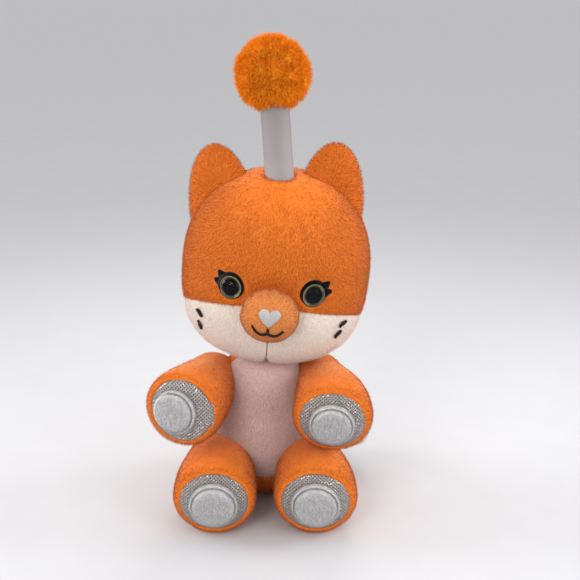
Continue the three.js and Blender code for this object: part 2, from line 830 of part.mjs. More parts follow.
// The room below the seam between hood and cheeks and in front of the side seam
function cheekRoom(grow) {
  const seam = new THREE.Matrix4()
    .makeTranslation(0, headCentre.y - head.halfDepth, headCentre.z - cheekSeamDrop + grow)
    .multiply(new THREE.Matrix4().makeRotationX(-cheekSeamSlope));
  const wide = 2 * overrun;
  const below = block(new THREE.Vector3(-wide, -wide, -wide), new THREE.Vector3(wide, wide, 0));
  const ahead = block(
    new THREE.Vector3(-wide, -wide, -wide),
    new THREE.Vector3(wide, headCentre.y + sideSeamOffset + grow, wide),
  );
  return moved(below, seam).intersect(ahead);
}

function halfRoom(side) {
  const wide = 2 * overrun;
  const near = (side * fitGap) / 2;
  const far = side * wide;
  return block(
    new THREE.Vector3(Math.min(near, far), -wide, -wide),
    new THREE.Vector3(Math.max(near, far), wide, wide),
  );
}

function eyeGroup(name, side) {
  const seat = feltThickness + 2 * fitGap;
  const front = seat + eyeRimThickness;
  const iris = front + fitGap;
  const dome = iris + irisThickness + fitGap;
  const washerBack = -stiffeningThickness - fitGap - washerThickness;
  const ring = ringProfile(pupilRadius, irisRadius, iris, irisThickness);
  const washer = ringProfile(eyePostRadius + fitGap, washerRadius, washerBack, washerThickness);
  const cap = [];
  for (let i = 0; i <= domeSteps; i++) {
    const angle = (i / domeSteps) * (Math.PI / 2);
    cap.push([domeRadius * Math.cos(angle), dome + domeHeight * Math.sin(angle)]);
  }
  const base = [
    [0, -eyePostLength],
    [eyePostRadius, -eyePostLength],
    [eyePostRadius, seat],
    [eyeRadius, seat],
    [eyeRadius, front],
    [0, front],
  ];
  return group(
    eyePlace(side),
    node(`${name}_base`, turned(base, eyeSides), materials.blackPlastic),
    node(`${name}_iris`, turned(ring, eyeSides), materials.irisPaint),
    node(`${name}_dome`, turned([[0, dome], ...cap], eyeSides), materials.clearPlastic),
    node(`${name}_washer`, turned(washer, eyeSides), materials.nylon),
  );
}

function ringProfile(inner, outer, from, height) {
  return [
    [inner, from],
    [outer, from],
    [outer, from + height],
    [inner, from + height],
    [inner, from],
  ];
}

function rodGroup() {
  const spigot = rodBore - fitGap;
  const foot = -rodInside - fitGap;
  const head = rodOutside + fitGap;
  const flange = [
    [0, foot - flangeThickness],
    [flangeRadius, foot - flangeThickness],
    [flangeRadius, foot],
    [spigot, foot],
    [spigot, foot + spigotLength],
    [0, foot + spigotLength],
  ];
  const plug = [
    [0, rodOutside - plugLength],
    [spigot, rodOutside - plugLength],
    [spigot, head],
    [plugCapRadius, head],
    [plugCapRadius, head + plugCapThickness],
    [0, head + plugCapThickness],
  ];
  const centre = new THREE.Vector3(0, 0, rodOutside + pompomRadius - pompomSeatDepth);
  const pompom = ball(centre, pompomRadius, rodSides)
    .subtract(post(rodRadius + fitGap, 0, head, rodSides))
    .subtract(post(plugCapRadius + fitGap, rodOutside, head + plugCapThickness + fitGap, rodSides));
  const tube = ringProfile(rodBore, rodRadius, -rodInside, rodInside + rodOutside);
  return group(
    rodPlace,
    node("rod", turned(tube, rodSides), materials.rodPlastic),
    node("rod_flange", turned(flange, rodSides), materials.nylon),
    node("rod_plug", turned(plug, rodSides), materials.nylon),
    node("pompom", pompom, materials.pompomFur),
  );
}

function headGroup() {
  const sides = { left: 1, right: -1 };
  const bothEyes = Object.values(sides).map(eyePlace);
  const neck = new THREE.Vector3();
  const washerBack = -stiffeningThickness - washerThickness;
  const atEyes = (made) => joined(bothEyes.map((place) => moved(made, place)));
  const stiffened = atEyes(post(washerRadius + fitGap, -stiffeningThickness, stiffeningThickness, eyeSides));
  const postRoom = atEyes(post(eyePostRadius + fitGap, -eyePostLength - fitGap, stiffeningThickness, eyeSides));
  const washerRoom = atEyes(
    post(washerRadius + fitGap, washerBack - 2 * fitGap, -stiffeningThickness, eyeSides),
  );
  const rodRoom = moved(
    post(rodRadius + fitGap, -rodInside - fitGap, rodOutside, rodSides).add(
      post(flangeRadius + fitGap, -rodInside - flangeThickness - 2 * fitGap, -rodInside, rodSides),
    ),
    rodPlace,
  );
  const dish = (inset) => roomyBall(neck, neckRadius + fitGap / 2 + inset, neckSides);
  const skin = onHead(0)
    .subtract(dish(0))
    .subtract(headForm(headInside, -clothThickness).subtract(dish(clothThickness)).subtract(stiffened))
    .subtract(post(neckOpening, 0, neckRadius + 2 * clothThickness))
    .subtract(postRoom)
    .subtract(rodRoom);
  const filling = headForm(headInside, -clothThickness - fitGap)
    .subtract(dish(clothThickness + fitGap))
    .subtract(joined([stiffened, washerRoom, postRoom, rodRoom]));
  const made = group(
    headPlace,
    node("head_hood", skin.subtract(cheekRoom(fitGap)), materials.orangePlush),
    node("head_filling", filling, materials.fibrefill),
    rodGroup(),
  );
  for (const [name, side] of Object.entries(sides)) {
    const cheek = skin.intersect(cheekRoom(0)).intersect(halfRoom(side));
    const eyeFelt = layer(onHead, feltThickness).intersect(moved(patchOutline(side), eyePlace(side)));
    made.add(
      node(`cheek_${name}`, cheek, materials.whitePlush),
      node(`ear_${name}`, earSolid(side, earRoots[name]), materials.orangePlush),
      node(`eye_${name}_felt`, eyeFelt.subtract(postRoom), materials.blackFelt),
      eyeGroup(`eye_${name}`, side),
    );
    for (const row of ["upper", "lower"]) {
      const { markOut, markDrop, tilt } = cheekMarks[`${name}_${row}`];
      const place = facePlace(side, markOut, markDrop).multiply(new THREE.Matrix4().makeRotationZ(tilt));
      const mark = layer(onHead, threadHeight).intersect(moved(markOutline(), place));
      made.add(node(`cheek_mark_${name}_${row}`, mark, materials.darkThread));
    }
  }
  made.add(muzzleGroup());
  return made;
}

function muzzleGroup() {
  const heart = moved(heartOutline(), frameOn(muzzle, 0, heartUp));
  const mouth = moved(mouthOutline(), frameOn(muzzle, 0, -mouthDrop));
  const behind = moved(onHead(fitGap), muzzlePlace.clone().invert());
  const muzzleSkin = egg(muzzle).subtract(egg(muzzleInside, -muzzleClothThickness)).subtract(behind);
  const muzzleFilling = egg(muzzleInside, -muzzleClothThickness - fitGap).subtract(behind);
  return group(
    muzzlePlace,
    node("muzzle_cover", muzzleSkin, materials.orangePlush),
    node("muzzle_filling", muzzleFilling, materials.fibrefill),
    node("heart_nose", layer(onMuzzle, threadHeight).intersect(heart), materials.whiteThread),
    node("mouth_stitching", layer(onMuzzle, threadHeight).intersect(mouth), materials.darkThread),
  );
}

const fox = new THREE.Group();
fox.add(torsoGroup(), headGroup());
for (const [name, form] of Object.entries(limbs))
  fox.add(name === "tail" ? tailGroup(form) : limbGroup(name, form));
fox.updateMatrixWorld(true);

export default fox;
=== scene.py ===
"""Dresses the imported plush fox: stuffed skins with a pile, embroidery, eyes, paw discs, rod and pompom."""

import json
import math

import bmesh
import bpy
import numpy as np
from mathutils import Matrix, Vector, noise
from mathutils.bvhtree import BVHTree
from mathutils.geometry import interpolate_bezier

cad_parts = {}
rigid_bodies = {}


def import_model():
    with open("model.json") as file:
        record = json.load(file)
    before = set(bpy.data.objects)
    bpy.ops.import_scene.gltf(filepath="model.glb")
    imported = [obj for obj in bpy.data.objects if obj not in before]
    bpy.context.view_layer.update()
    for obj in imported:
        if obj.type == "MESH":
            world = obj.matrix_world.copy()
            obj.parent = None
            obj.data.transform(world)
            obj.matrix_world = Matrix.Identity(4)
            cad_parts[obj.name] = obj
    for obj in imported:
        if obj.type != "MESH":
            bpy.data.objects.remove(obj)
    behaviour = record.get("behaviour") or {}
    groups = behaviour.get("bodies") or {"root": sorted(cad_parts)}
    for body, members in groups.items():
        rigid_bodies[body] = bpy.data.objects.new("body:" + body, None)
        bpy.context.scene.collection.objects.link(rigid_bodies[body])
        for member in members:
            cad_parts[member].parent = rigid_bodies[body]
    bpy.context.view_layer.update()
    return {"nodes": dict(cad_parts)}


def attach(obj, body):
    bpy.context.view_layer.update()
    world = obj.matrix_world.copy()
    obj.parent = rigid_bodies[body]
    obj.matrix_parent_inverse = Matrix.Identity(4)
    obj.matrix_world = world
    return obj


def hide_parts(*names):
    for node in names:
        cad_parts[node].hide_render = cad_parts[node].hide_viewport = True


bl_info = {
    "name": "Plush fox",
    "version": (1, 0, 0),
    "blender": (4, 5, 0),
    "location": "3D View > Sidebar > Fox",
    "description": "Sews, stuffs and finishes a sitting plush fox around its packed frame",
    "category": "Object",
}

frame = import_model()

MM = 0.001
UP = Vector((0, 0, 1))
COVER = 1.2  # millimetres of plush cloth under its pile
SLACK = 0.8  # millimetres from an empty skin to the outline that its filling pushes it to
FLOOR_GAP = 0.35  # millimetres under the lowest skin, where its pile is
SIM = 10.0  # the cloth is stuffed at ten times its size, where the solver is steady
CLOTH_FRAMES = 18
CLOTH_STIFFNESS = 8.0
SEED_STEP = 37  # keeps the random draws of one pile apart from those of another


def turn(degrees, axis):
    return Matrix.Rotation(math.radians(degrees), 4, axis)


def framed(right, up, out, at):
    """A frame from its three axes and its place."""
    made = Matrix((right, up, out)).transposed().to_4x4()
    made.translation = at
    return made


# Forms, in millimetres, as the frame has them
def fullness(share, low, high):
    """How much of its full width a body has at a share of its height."""
    power = low if share < 0 else high
    return max(0.0, 1 - abs(share) ** power) ** (1 / power)


class Egg:
    """A rounded body with its own fullness below and above its middle."""

    def __init__(self, half, low, high, taper=0.0, centre=(0, 0, 0)):
        self.half = Vector(half)
        self.low = low
        self.high = high
        self.taper = taper
        self.centre = Vector(centre)

    def narrowing(self, share):
        return 1 - self.taper * (share + 1) / 2

    def point(self, way):
        power = self.low if way.z < 0 else self.high
        flat = math.hypot(way.x, way.y)
        reach = (abs(way.z) ** power + flat**power) ** (-1 / power)
        thin = reach * self.narrowing(way.z * reach)
        return Vector((way.x * thin * self.half.x, way.y * thin * self.half.y, way.z * reach * self.half.z))

    def inside(self, place):
        """How many millimetres a place is inside the body, about; outside is negative."""
        local = place - self.centre
        share = local.z / self.half.z
        power = self.low if share < 0 else self.high
        thin = self.narrowing(max(-1.0, min(1.0, share)))
        flat = math.hypot(local.x / (self.half.x * thin), local.y / (self.half.y * thin))
        return (1 - (abs(share) ** power + flat**power) ** (1 / power)) * min(self.half)

    def front(self, x, z):
        wide = fullness(z / self.half.z, self.low, self.high)
        return Vector((x, -self.half.y * math.sqrt(max(0.0, wide**2 - (x / self.half.x) ** 2)), z))

    def place(self, x, z, twist=0.0):
        """A frame on the front of the body: +Z outwards and +Y up the face."""
        step = self.half.x / 100
        across = self.front(x + step, z) - self.front(x - step, z)
        upward = self.front(x, z + step) - self.front(x, z - step)
        out = across.cross(upward).normalized()
        right = UP.cross(out).normalized()
        return framed(right, out.cross(right), out, self.front(x, z)) @ turn(-twist, "Z")


NECK = Vector((0, 0, 61))
NECK_RADIUS = 23
NECK_BLEND = 9
TORSO = Egg((34, 30, 40), 2.5, 2, 0.1, (0, 0, 39.5))
HEAD = Egg((48.5, 42, 50), 3, 2.1, 0, (0, -2, 68))
HEAD_FRAME = Matrix.Translation(NECK) @ turn(5, "Y") @ turn(-3, "Z")
FACE = HEAD_FRAME @ Matrix.Translation(HEAD.centre)
TWIST = 1.5  # degrees by which the face is sewn on askew
SEAM_DROP = 13
SEAM_SLOPE = math.radians(14)
SIDE_SEAM = 10
MUZZLE = Egg((14.7, 12.5, 13.3), 2.1, 2.1)
MUZZLE_FRAME = FACE @ HEAD.place(0, -15, TWIST) @ Matrix.Translation((0, 0, 1)) @ turn(-90, "X")
ROD_FRAME = HEAD_FRAME @ Matrix.Translation((-2, -14, 114.3)) @ turn(-7, "X") @ turn(-9.5, "Y")
ROD_RADIUS = 7.2
POMPOM_UP = 50.5
SIDES = {"left": 1, "right": -1}
EYES = {name: FACE @ HEAD.place(side * 19.8, -4, TWIST) for name, side in SIDES.items()}
FELT_RADIUS = 6.8
EARS = {
    "left": {"side": 1, "root": 24, "rise": 28, "lean": 1},
    "right": {"side": -1, "root": 29.3, "rise": 22.3, "lean": 12},
}
ARM = {"root": 15, "belly": 18.1, "wide": 20.5, "tall": 20, "pad": (16.8, 16.4), "rounding": 5.5, "disc": 11.1}
LEG = {"root": 18, "belly": 20.1, "wide": 21.3, "tall": 20.6, "pad": (17.6, 16.3), "rounding": 5.5, "disc": 12}
TAIL = {"root": 9, "belly": 13.5, "wide": 6.8, "tall": 6.8, "pad": (0, 0), "rounding": 4.4}
ROUTES = {  # the form, its pivot, which way it starts, the middle of its sole and which way that faces
    "arm_left": (ARM, (28, -3, 64), (0.3, -0.92, -0.2), (33, -50.5, 59.8), (-0.1, -0.97, -0.18)),
    "arm_right": (ARM, (-28, -3, 64), (-0.3, -0.95, 0.05), (-43.3, -48, 65), (-0.38, -0.92, 0.06)),
    "leg_left": (LEG, (23, -10, 20.1), (0.1, -1, 0), (25, -59, 20.1), (-0.05, -0.99, -0.1)),
    "leg_right": (LEG, (-23, -10, 20.1), (-0.1, -1, 0), (-25.5, -59, 20.1), (-0.02, -0.99, -0.1)),
    "tail": (TAIL, (6, 25, 16), (0.5, 0.86, 0), (53, 14, 22), (0.3, -0.94, 0.1)),
}
ASIDE = {"arm_right": (-0.6, 1.5)}  # how far the disc and the pad are sewn on beside the middle
PAWS = [name for name in ROUTES if name != "tail"]
TIP_SHARE = 0.62
DISC_HEIGHT = 4.6
DISC_EDGE = (
    *((-0.3, -0.4), (0, 0.4), (0, 1.8), (-0.15, 2.4), (-0.55, 2.65)),
    *((-0.95, 2.4), (-1.15, 1.7), (-1.35, 1.6), (-1.5, 2.2)),
)
DISC_TOP = ((-1.6, -1.0), (-2.1, -0.2), (-3.2, 0.2), (-5.2, 0.4), (-8, 0.5))
EYE_PROFILES = {  # radii and heights
    "base": (
        *((0, 0.2), (5.2, 0.2), (5.9, 0.7), (6.15, 1.5), (6.1, 2.1)),
        *((5.85, 2.35), (5.65, 2.2), (5.6, 1.6), (5.3, 1.35), (0, 1.35)),
    ),
    "iris": (
        *((3.9, 1.4), (5.6, 1.4), (5.8, 1.9), (5.65, 2.3), (5.3, 2.25)),
        *((4.8, 1.95), (4.3, 1.8), (3.95, 1.7), (3.9, 1.4)),
    ),
    "dome": ((5.3, 1.9), (5.35, 2.4), (5.3, 2.8), (5.0, 3.7), (4.1, 4.5), (2.8, 5.15), (1.4, 5.5), (0, 5.6)),
}
ROD_BORE = 5.8
ROD_OUTSIDE = ((-0.2, -24), (0, -23.6), (0, -4), (0, 4), (0, 12), (0, 26), (0, 39.6), (-0.2, 40))
CHEEK_MARKS = {
    "left_upper": (36.5, 21.5, 40),
    "left_lower": (34.5, 27, 62),
    "right_upper": (-35.5, 23, -30),
    "right_lower": (-35, 30, -72),
}
TUMMY_HALF = 27
TUMMY_LOW, TUMMY_HIGH = 17, 90
TUMMY_SHARES = ((0, 0), (0.42, 0.02), (0.8, 0.12), (1, 0.35), (0.9, 0.62), (0.7, 0.86), (0.64, 1))


# Node trees written as expressions
def maths(operation, swapped=False):
    """A method of Wire that adds one Math node."""

    def method(self, *others):
        values = (*others, self) if swapped else (self, *others)
        return add(self.tree, "ShaderNodeMath", {"operation": operation}, dict(enumerate(values)))["Value"]

    return method


class Wire:
    """A socket whose sums and products add the Math nodes they need."""

    def __init__(self, tree, socket):
        self.tree = tree
        self.socket = socket

    __add__ = __radd__ = maths("ADD")
    __sub__ = maths("SUBTRACT")
    __rsub__ = maths("SUBTRACT", swapped=True)
    __mul__ = __rmul__ = maths("MULTIPLY")
    __truediv__ = maths("DIVIDE")
    above = maths("GREATER_THAN")
    below = maths("LESS_THAN")
    at_least = maths("MAXIMUM")
    at_most = maths("MINIMUM")
    wave = maths("SINE")
    whole = maths("FLOOR")

    def clamped(self):
        return self.at_least(0).at_most(1)


class Made:
    """A node whose enabled outputs are read by name."""

    def __init__(self, tree, made):
        self.tree = tree
        self.node = made

    def __getitem__(self, name):
        return Wire(self.tree, next(s for s in self.node.outputs if s.enabled and s.name == name))


def add(tree, kind, settings=None, sockets=None):
    """One node: its type, its settings, then the values or links of its sockets by name or place."""
    made = tree.nodes.new(kind)
    for name, value in (settings or {}).items():
        setattr(made, name, value)
    for name, value in (sockets or {}).items():
        if isinstance(name, int):
            socket = made.inputs[name]
        else:
            socket = next(s for s in made.inputs if s.enabled and s.name == name)
        if isinstance(value, Wire):
            tree.links.new(value.socket, socket)
        else:
            socket.default_value = value
    return Made(tree, made)


def linear(colour):
    """The scene's own light values of a colour that is written as it is seen."""
    return tuple(c / 12.92 if c <= 0.04045 else ((c + 0.055) / 1.055) ** 2.4 for c in colour) + (1.0,)


def shaded(colour, by):
    return tuple(min(1.0, c * by) for c in colour)


def blended(tree, share, first, second):
    """One colour where share is 0 and the other where it is 1."""
    made = add(tree, "ShaderNodeMix", {"data_type": "RGBA"}, {0: share, 6: first, 7: second})
    return Wire(tree, made.node.outputs[2])


def mottled(tree, share, colour, low, high):
    """One colour that goes from a low to a high brightness with a share."""
    return blended(tree, share, linear(shaded(colour, low)), linear(shaded(colour, high)))


def finish(name, build=None, **constants):
    """A material: build(tree, place) returns what varies, and the constants sit on the shader itself."""
    made = bpy.data.materials.new(name)
    made.use_nodes = True
    tree = made.node_tree
    shader = tree.nodes["Principled BSDF"]
    for socket, value in constants.items():
        shader.inputs[socket.replace("_", " ").title().replace("Ior", "IOR")].default_value = value
    if build:
        place = add(tree, "ShaderNodeTexCoord")["Object"]
        for socket, value in build(tree, place).items():
            tree.links.new(value.socket, shader.inputs[socket])
    return made


def speckle(tree, place, scale, detail=2.0, rough=0.5, warp=0.0):
    sockets = {"Vector": place, "Scale": scale, "Detail": detail, "Roughness": rough, "Distortion": warp}
    return add(tree, "ShaderNodeTexNoise", {}, sockets)["Fac"]


def bump(tree, height, strength, distance):
    sockets = {"Height": height, "Strength": strength, "Distance": distance}
    return add(tree, "ShaderNodeBump", {}, sockets)["Normal"]


def stretched(tree, place, scale):
    return add(tree, "ShaderNodeMapping", {}, {"Vector": place, "Scale": scale})["Vector"]


# Finishes
def backing(name, colour):
    """Plush between the tips of its pile: its colour is mottled darker and lighter at random."""

    def build(tree, place):
        fine = speckle(tree, place, 900, 3, 0.6)
        return {
            "Base Color": mottled(tree, speckle(tree, place, 45) * 0.4 + fine * 0.6, colour, 0.8, 1.1),
            "Roughness": 0.95 - fine * 0.12,
            "Normal": bump(tree, fine, 0.6, 0.0005),
        }

    tint = linear(tuple(0.5 + c / 2 for c in colour))
    return finish(name, build, specular_ior_level=0.15, sheen_weight=0.7, sheen_roughness=0.4, sheen_tint=tint)


def strand_shades(name, colours, sheen=0.45, tint=(1.0, 0.7, 0.42)):
    """The few shades of one pile's strands: darker and lighter copies of one dye, picked at random and, through
    the tone, as painted shade and painted light; each one even colour under a soft sheen.
    """
    cloth = {"roughness": 0.7, "specular_ior_level": 0.15, "sheen_weight": sheen, "sheen_roughness": 0.5}
    return [
        finish(f"{name} {index + 1}", base_color=linear(colour), sheen_tint=linear(tint), **cloth)
        for index, colour in enumerate(colours)
    ]


KNIT = 2 * math.pi / 0.0018  # rows of the silver knit in each metre


def lame(name, colour):
    """Knitted silver cloth: rows of small dark eyelets between flat threads that flash one by one."""

    def build(tree, place):
        drift = speckle(tree, place, 220)
        axes = add(tree, "ShaderNodeSeparateXYZ", {}, {"Vector": place})
        columns, rows = ((axes[axis] * KNIT + drift * 2).wave() for axis in "XZ")
        eyelet = (columns * rows - 0.3).clamped() * 2.5
        cells = {"Vector": place, "Scale": 2700.0, "Randomness": 0.9}
        grain = add(tree, "ShaderNodeTexVoronoi", {"feature": "F1"}, cells)["Color"]
        thread = add(tree, "ShaderNodeSeparateColor", {}, {"Color": grain})["Red"]
        flash = thread.above(0.86)
        body = mottled(tree, thread * 0.6 + speckle(tree, place, 500, 3, 0.6) * 0.4, colour, 0.8, 1.12)
        # The flashing threads are painted brighter as well as made glossier: a painted glint.
        lit = blended(tree, flash, body, linear(shaded(colour, 1.5)))
        return {
            "Base Color": blended(tree, eyelet.clamped(), lit, linear(shaded(colour, 0.52))),
            "Roughness": 0.6 - flash * 0.42,
            "Metallic": 0.35 + flash * 0.5,
            "Normal": bump(tree, thread * 0.6 - eyelet, 0.8, 0.0004),
        }

    return finish(name, build)


def velour(name, colour):
    """The short even nap of the paw discs."""

    def build(tree, place):
        fine = speckle(tree, place, 1500, 2, 0.6)
        mixed = mottled(tree, speckle(tree, place, 160, 3, 0.6) * 0.5 + fine * 0.5, colour, 0.72, 1.05)
        return {"Base Color": mixed, "Normal": bump(tree, fine, 0.6, 0.0004)}

    return finish(name, build, roughness=0.9, sheen_weight=0.3, sheen_roughness=0.5, specular_ior_level=0.2)


def twisted(name, colour, rough):
    """Embroidery thread: fine plies that catch the light across each stitch."""

    def build(tree, place):
        ply = speckle(tree, stretched(tree, place, (1, 1, 0.35)), 2600, 2, 0.6)
        mixed = mottled(tree, ply * 0.6 + speckle(tree, place, 400) * 0.4, colour, 0.7, 1.12)
        return {"Base Color": mixed, "Roughness": rough + ply * 0.15, "Normal": bump(tree, ply, 0.5, 0.0002)}

    return finish(name, build, specular_ior_level=0.3)


def matted(name, colour):
    """Felt: short fibres pressed every way."""

    def build(tree, place):
        fibre = speckle(tree, place, 1300, 4, 0.7, 1.5)
        return {"Base Color": mottled(tree, fibre, colour, 0.5, 1.6), "Normal": bump(tree, fibre, 0.8, 0.0005)}

    return finish(name, build, roughness=0.95, specular_ior_level=0.1, sheen_weight=0.15)


def moulded(name, colour, rough, scale, depth, **constants):
    """Moulded plastic with a faint skin of flow and handling marks."""

    def build(tree, place):
        skin = speckle(tree, place, scale, 3, 0.6)
        mixed = mottled(tree, speckle(tree, place, scale / 6), colour, 0.93, 1.04)
        return {"Base Color": mixed, "Roughness": rough + skin * 0.12, "Normal": bump(tree, skin, 0.2, depth)}

    return finish(name, build, **constants)


# Shapes
def rounded_cage(cuts):
    """A ball of even four-sided faces."""
    bm = bmesh.new()
    bmesh.ops.create_cube(bm, size=2)
    bmesh.ops.subdivide_edges(bm, edges=bm.edges[:], cuts=cuts, use_grid_fill=True)
    for v in bm.verts:
        v.co = Vector([math.tan(c * math.pi / 4) for c in v.co]).normalized()
    return bm


def globe(around, rows):
    """A ball of rows and columns; each corner comes with its row from the lower pole and its angle."""
    bm = bmesh.new()
    bmesh.ops.create_uvsphere(bm, u_segments=around, v_segments=rows, radius=1)
    spots = []
    for v in bm.verts:
        row = round((math.asin(max(-1.0, min(1.0, v.co.z))) / math.pi + 0.5) * rows)
        spots.append((v, row, math.atan2(v.co.y, v.co.x)))
    return bm, spots


def smoothstep(low, high, value):
    t = max(0.0, min(1.0, (value - low) / (high - low)))
    return t * t * (3 - 2 * t)


def spun(profile, steps=48):
    """A profile of radii and heights, turned once round the axis."""
    bm = bmesh.new()
    verts = [bm.verts.new((radius, 0, height)) for radius, height in profile]
    edges = [bm.edges.new(pair) for pair in zip(verts, verts[1:])]
    around = {"cent": (0, 0, 0), "axis": UP, "angle": 2 * math.pi, "steps": steps}
    bmesh.ops.spin(bm, geom=verts + edges, use_merge=True, **around)
    bmesh.ops.remove_doubles(bm, verts=bm.verts[:], dist=0.01)
    bmesh.ops.recalc_face_normals(bm, faces=bm.faces[:])
    return bm


def cut_along(bm, field):
    """Adds edges where a field of places is 0, and returns the corners on that line."""
    level = {v: field(v.co) for v in bm.verts}

    def crossing(a, b):
        """How far from a to b the field is 0, or None where it isn't."""
        return level[a] / (level[a] - level[b]) if level[a] * level[b] < 0 else None

    for e in bm.edges:
        a, b = e.verts
        share = crossing(a, b)
        if share is not None and not 0.2 <= share <= 0.8:
            near = a if share < 0.2 else b
            near.co = a.co.lerp(b.co, share)
            level[near] = 0.0
    for e in bm.edges[:]:
        share = crossing(*e.verts)
        if share is not None:
            level[bmesh.utils.edge_split(e, e.verts[0], share)[1]] = 0.0
    line = [v for v in bm.verts if level[v] == 0]
    bmesh.ops.connect_verts(bm, verts=line)
    return line


def linked(name, data):
    """A new object in the scene."""
    ob = bpy.data.objects.new(name, data)
    bpy.context.scene.collection.objects.link(ob)
    return ob


def meshed(name, bm):
    mesh = bpy.data.meshes.new(name)
    bm.to_mesh(mesh)
    bm.free()
    return mesh


def stuffed(bm, pinned, cap, pressure=2.0):
    """Blows the cloth up against its seams, as filling does, and caps how far it goes, in millimetres."""
    bm.verts.index_update()
    mesh = bpy.data.meshes.new("stuffing")
    bm.to_mesh(mesh)
    start = np.empty(len(mesh.vertices) * 3)
    mesh.vertices.foreach_get("co", start)
    mesh.vertices.foreach_set("co", start * MM * SIM)
    ob = linked("stuffing", mesh)
    ob.vertex_groups.new(name="seams").add([v.index for v in pinned if v.is_valid], 1.0, "REPLACE")
    cloth = ob.modifiers.new("stuffing", "CLOTH")
    cloth.settings.quality = 4
    cloth.settings.mass = 0.4
    cloth.settings.tension_stiffness = cloth.settings.compression_stiffness = CLOTH_STIFFNESS
    cloth.settings.use_pressure = True
    cloth.settings.uniform_pressure_force = pressure
    cloth.settings.effector_weights.gravity = 0
    cloth.settings.vertex_group_mass = "seams"
    cloth.collision_settings.use_collision = False
    for step in range(1, CLOTH_FRAMES + 1):
        bpy.context.scene.frame_set(step)
    moved = ob.evaluated_get(bpy.context.evaluated_depsgraph_get()).data
    end = np.empty(len(moved.vertices) * 3)
    moved.vertices.foreach_get("co", end)
    shift = (end / (MM * SIM) - start).reshape(-1, 3)
    length = np.linalg.norm(shift, axis=1, keepdims=True)
    shift *= np.minimum(1.0, cap / np.maximum(length, 1e-9))
    for v in bm.verts:
        v.co += Vector(shift[v.index])
    bpy.data.objects.remove(ob)
    bpy.data.meshes.remove(mesh)
    bpy.context.scene.frame_set(1)


def sewn(bm, seam, depth, cap, pressure=2.0):
    """Pulls the seams in, and stuffs the cloth between them."""
    bm.normal_update()
    for v in seam:
        v.co -= v.normal * depth
    stuffed(bm, seam, cap, pressure)


def part_of(bm, keep):
    """A copy with only the faces whose middles keep() wants."""
    made = bm.copy()
    rest = [f for f in made.faces if not keep(f.calc_center_median())]
    bmesh.ops.delete(made, geom=rest, context="FACES")
    return made


def bared(bm, depth):
    """Leaves out the faces that are deeper than this in the torso."""
    hidden = [f for f in bm.faces if TORSO.inside(f.calc_center_median()) > depth]
    bmesh.ops.delete(bm, geom=hidden, context="FACES")


def apply_all(ob):
    """Makes what the modifiers show the object's own mesh."""
    made = bpy.data.meshes.new_from_object(ob.evaluated_get(bpy.context.evaluated_depsgraph_get()))
    old = ob.data
    ob.modifiers.clear()
    ob.data = made
    made.name = ob.name
    if not old.users:
        bpy.data.meshes.remove(old)


def piece(name, bm, body, slot, look, matrix=Matrix.Identity(4), subdivisions=1):
    """Ends a mesh in millimetres as a piece in the frame's metres, riding on a body."""
    bmesh.ops.transform(bm, matrix=Matrix.Scale(MM, 4) @ matrix, verts=bm.verts)
    ob = linked(name, meshed(name, bm))
    ob.data.materials.append(look)
    finer = ob.modifiers.new("smooth", "SUBSURF")
    finer.levels = finer.render_levels = subdivisions
    apply_all(ob)
    ob.data.shade_smooth()
    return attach(ob, body)


COMBING = {"comb": "FLOAT_VECTOR", "thick": "FLOAT", "tone": "FLOAT", "stray": "FLOAT"}


def uncombed(mesh):
    """Takes away what only the growing of a pile needs."""
    for name in [a.name for a in mesh.attributes if a.name in COMBING]:
        mesh.attributes.remove(mesh.attributes[name])


def lined(ob, thickness):
    """Gives a skin the thickness of its cloth, inwards, once its pile has grown."""
    uncombed(ob.data)
    wall = ob.modifiers.new("cloth", "SOLIDIFY")
    wall.thickness = thickness * MM
    wall.offset = -1
    apply_all(ob)


def blade(rows, curl):
    """One strand as a flat tapering slip, 1 wide and 1 long, bent forward by its curl."""
    bm = bmesh.new()
    bmesh.ops.create_grid(bm, x_segments=1, y_segments=rows, size=0.5)
    for v in bm.verts:
        along = v.co.y + 0.5
        v.co = Vector((-v.co.x * (1 - along**2), curl * along**2, along * (1 - curl * along / 2)))
    bmesh.ops.remove_doubles(bm, verts=bm.verts[:], dist=1e-4)
    return bpy.data.objects.new("blade", meshed("blade", bm))


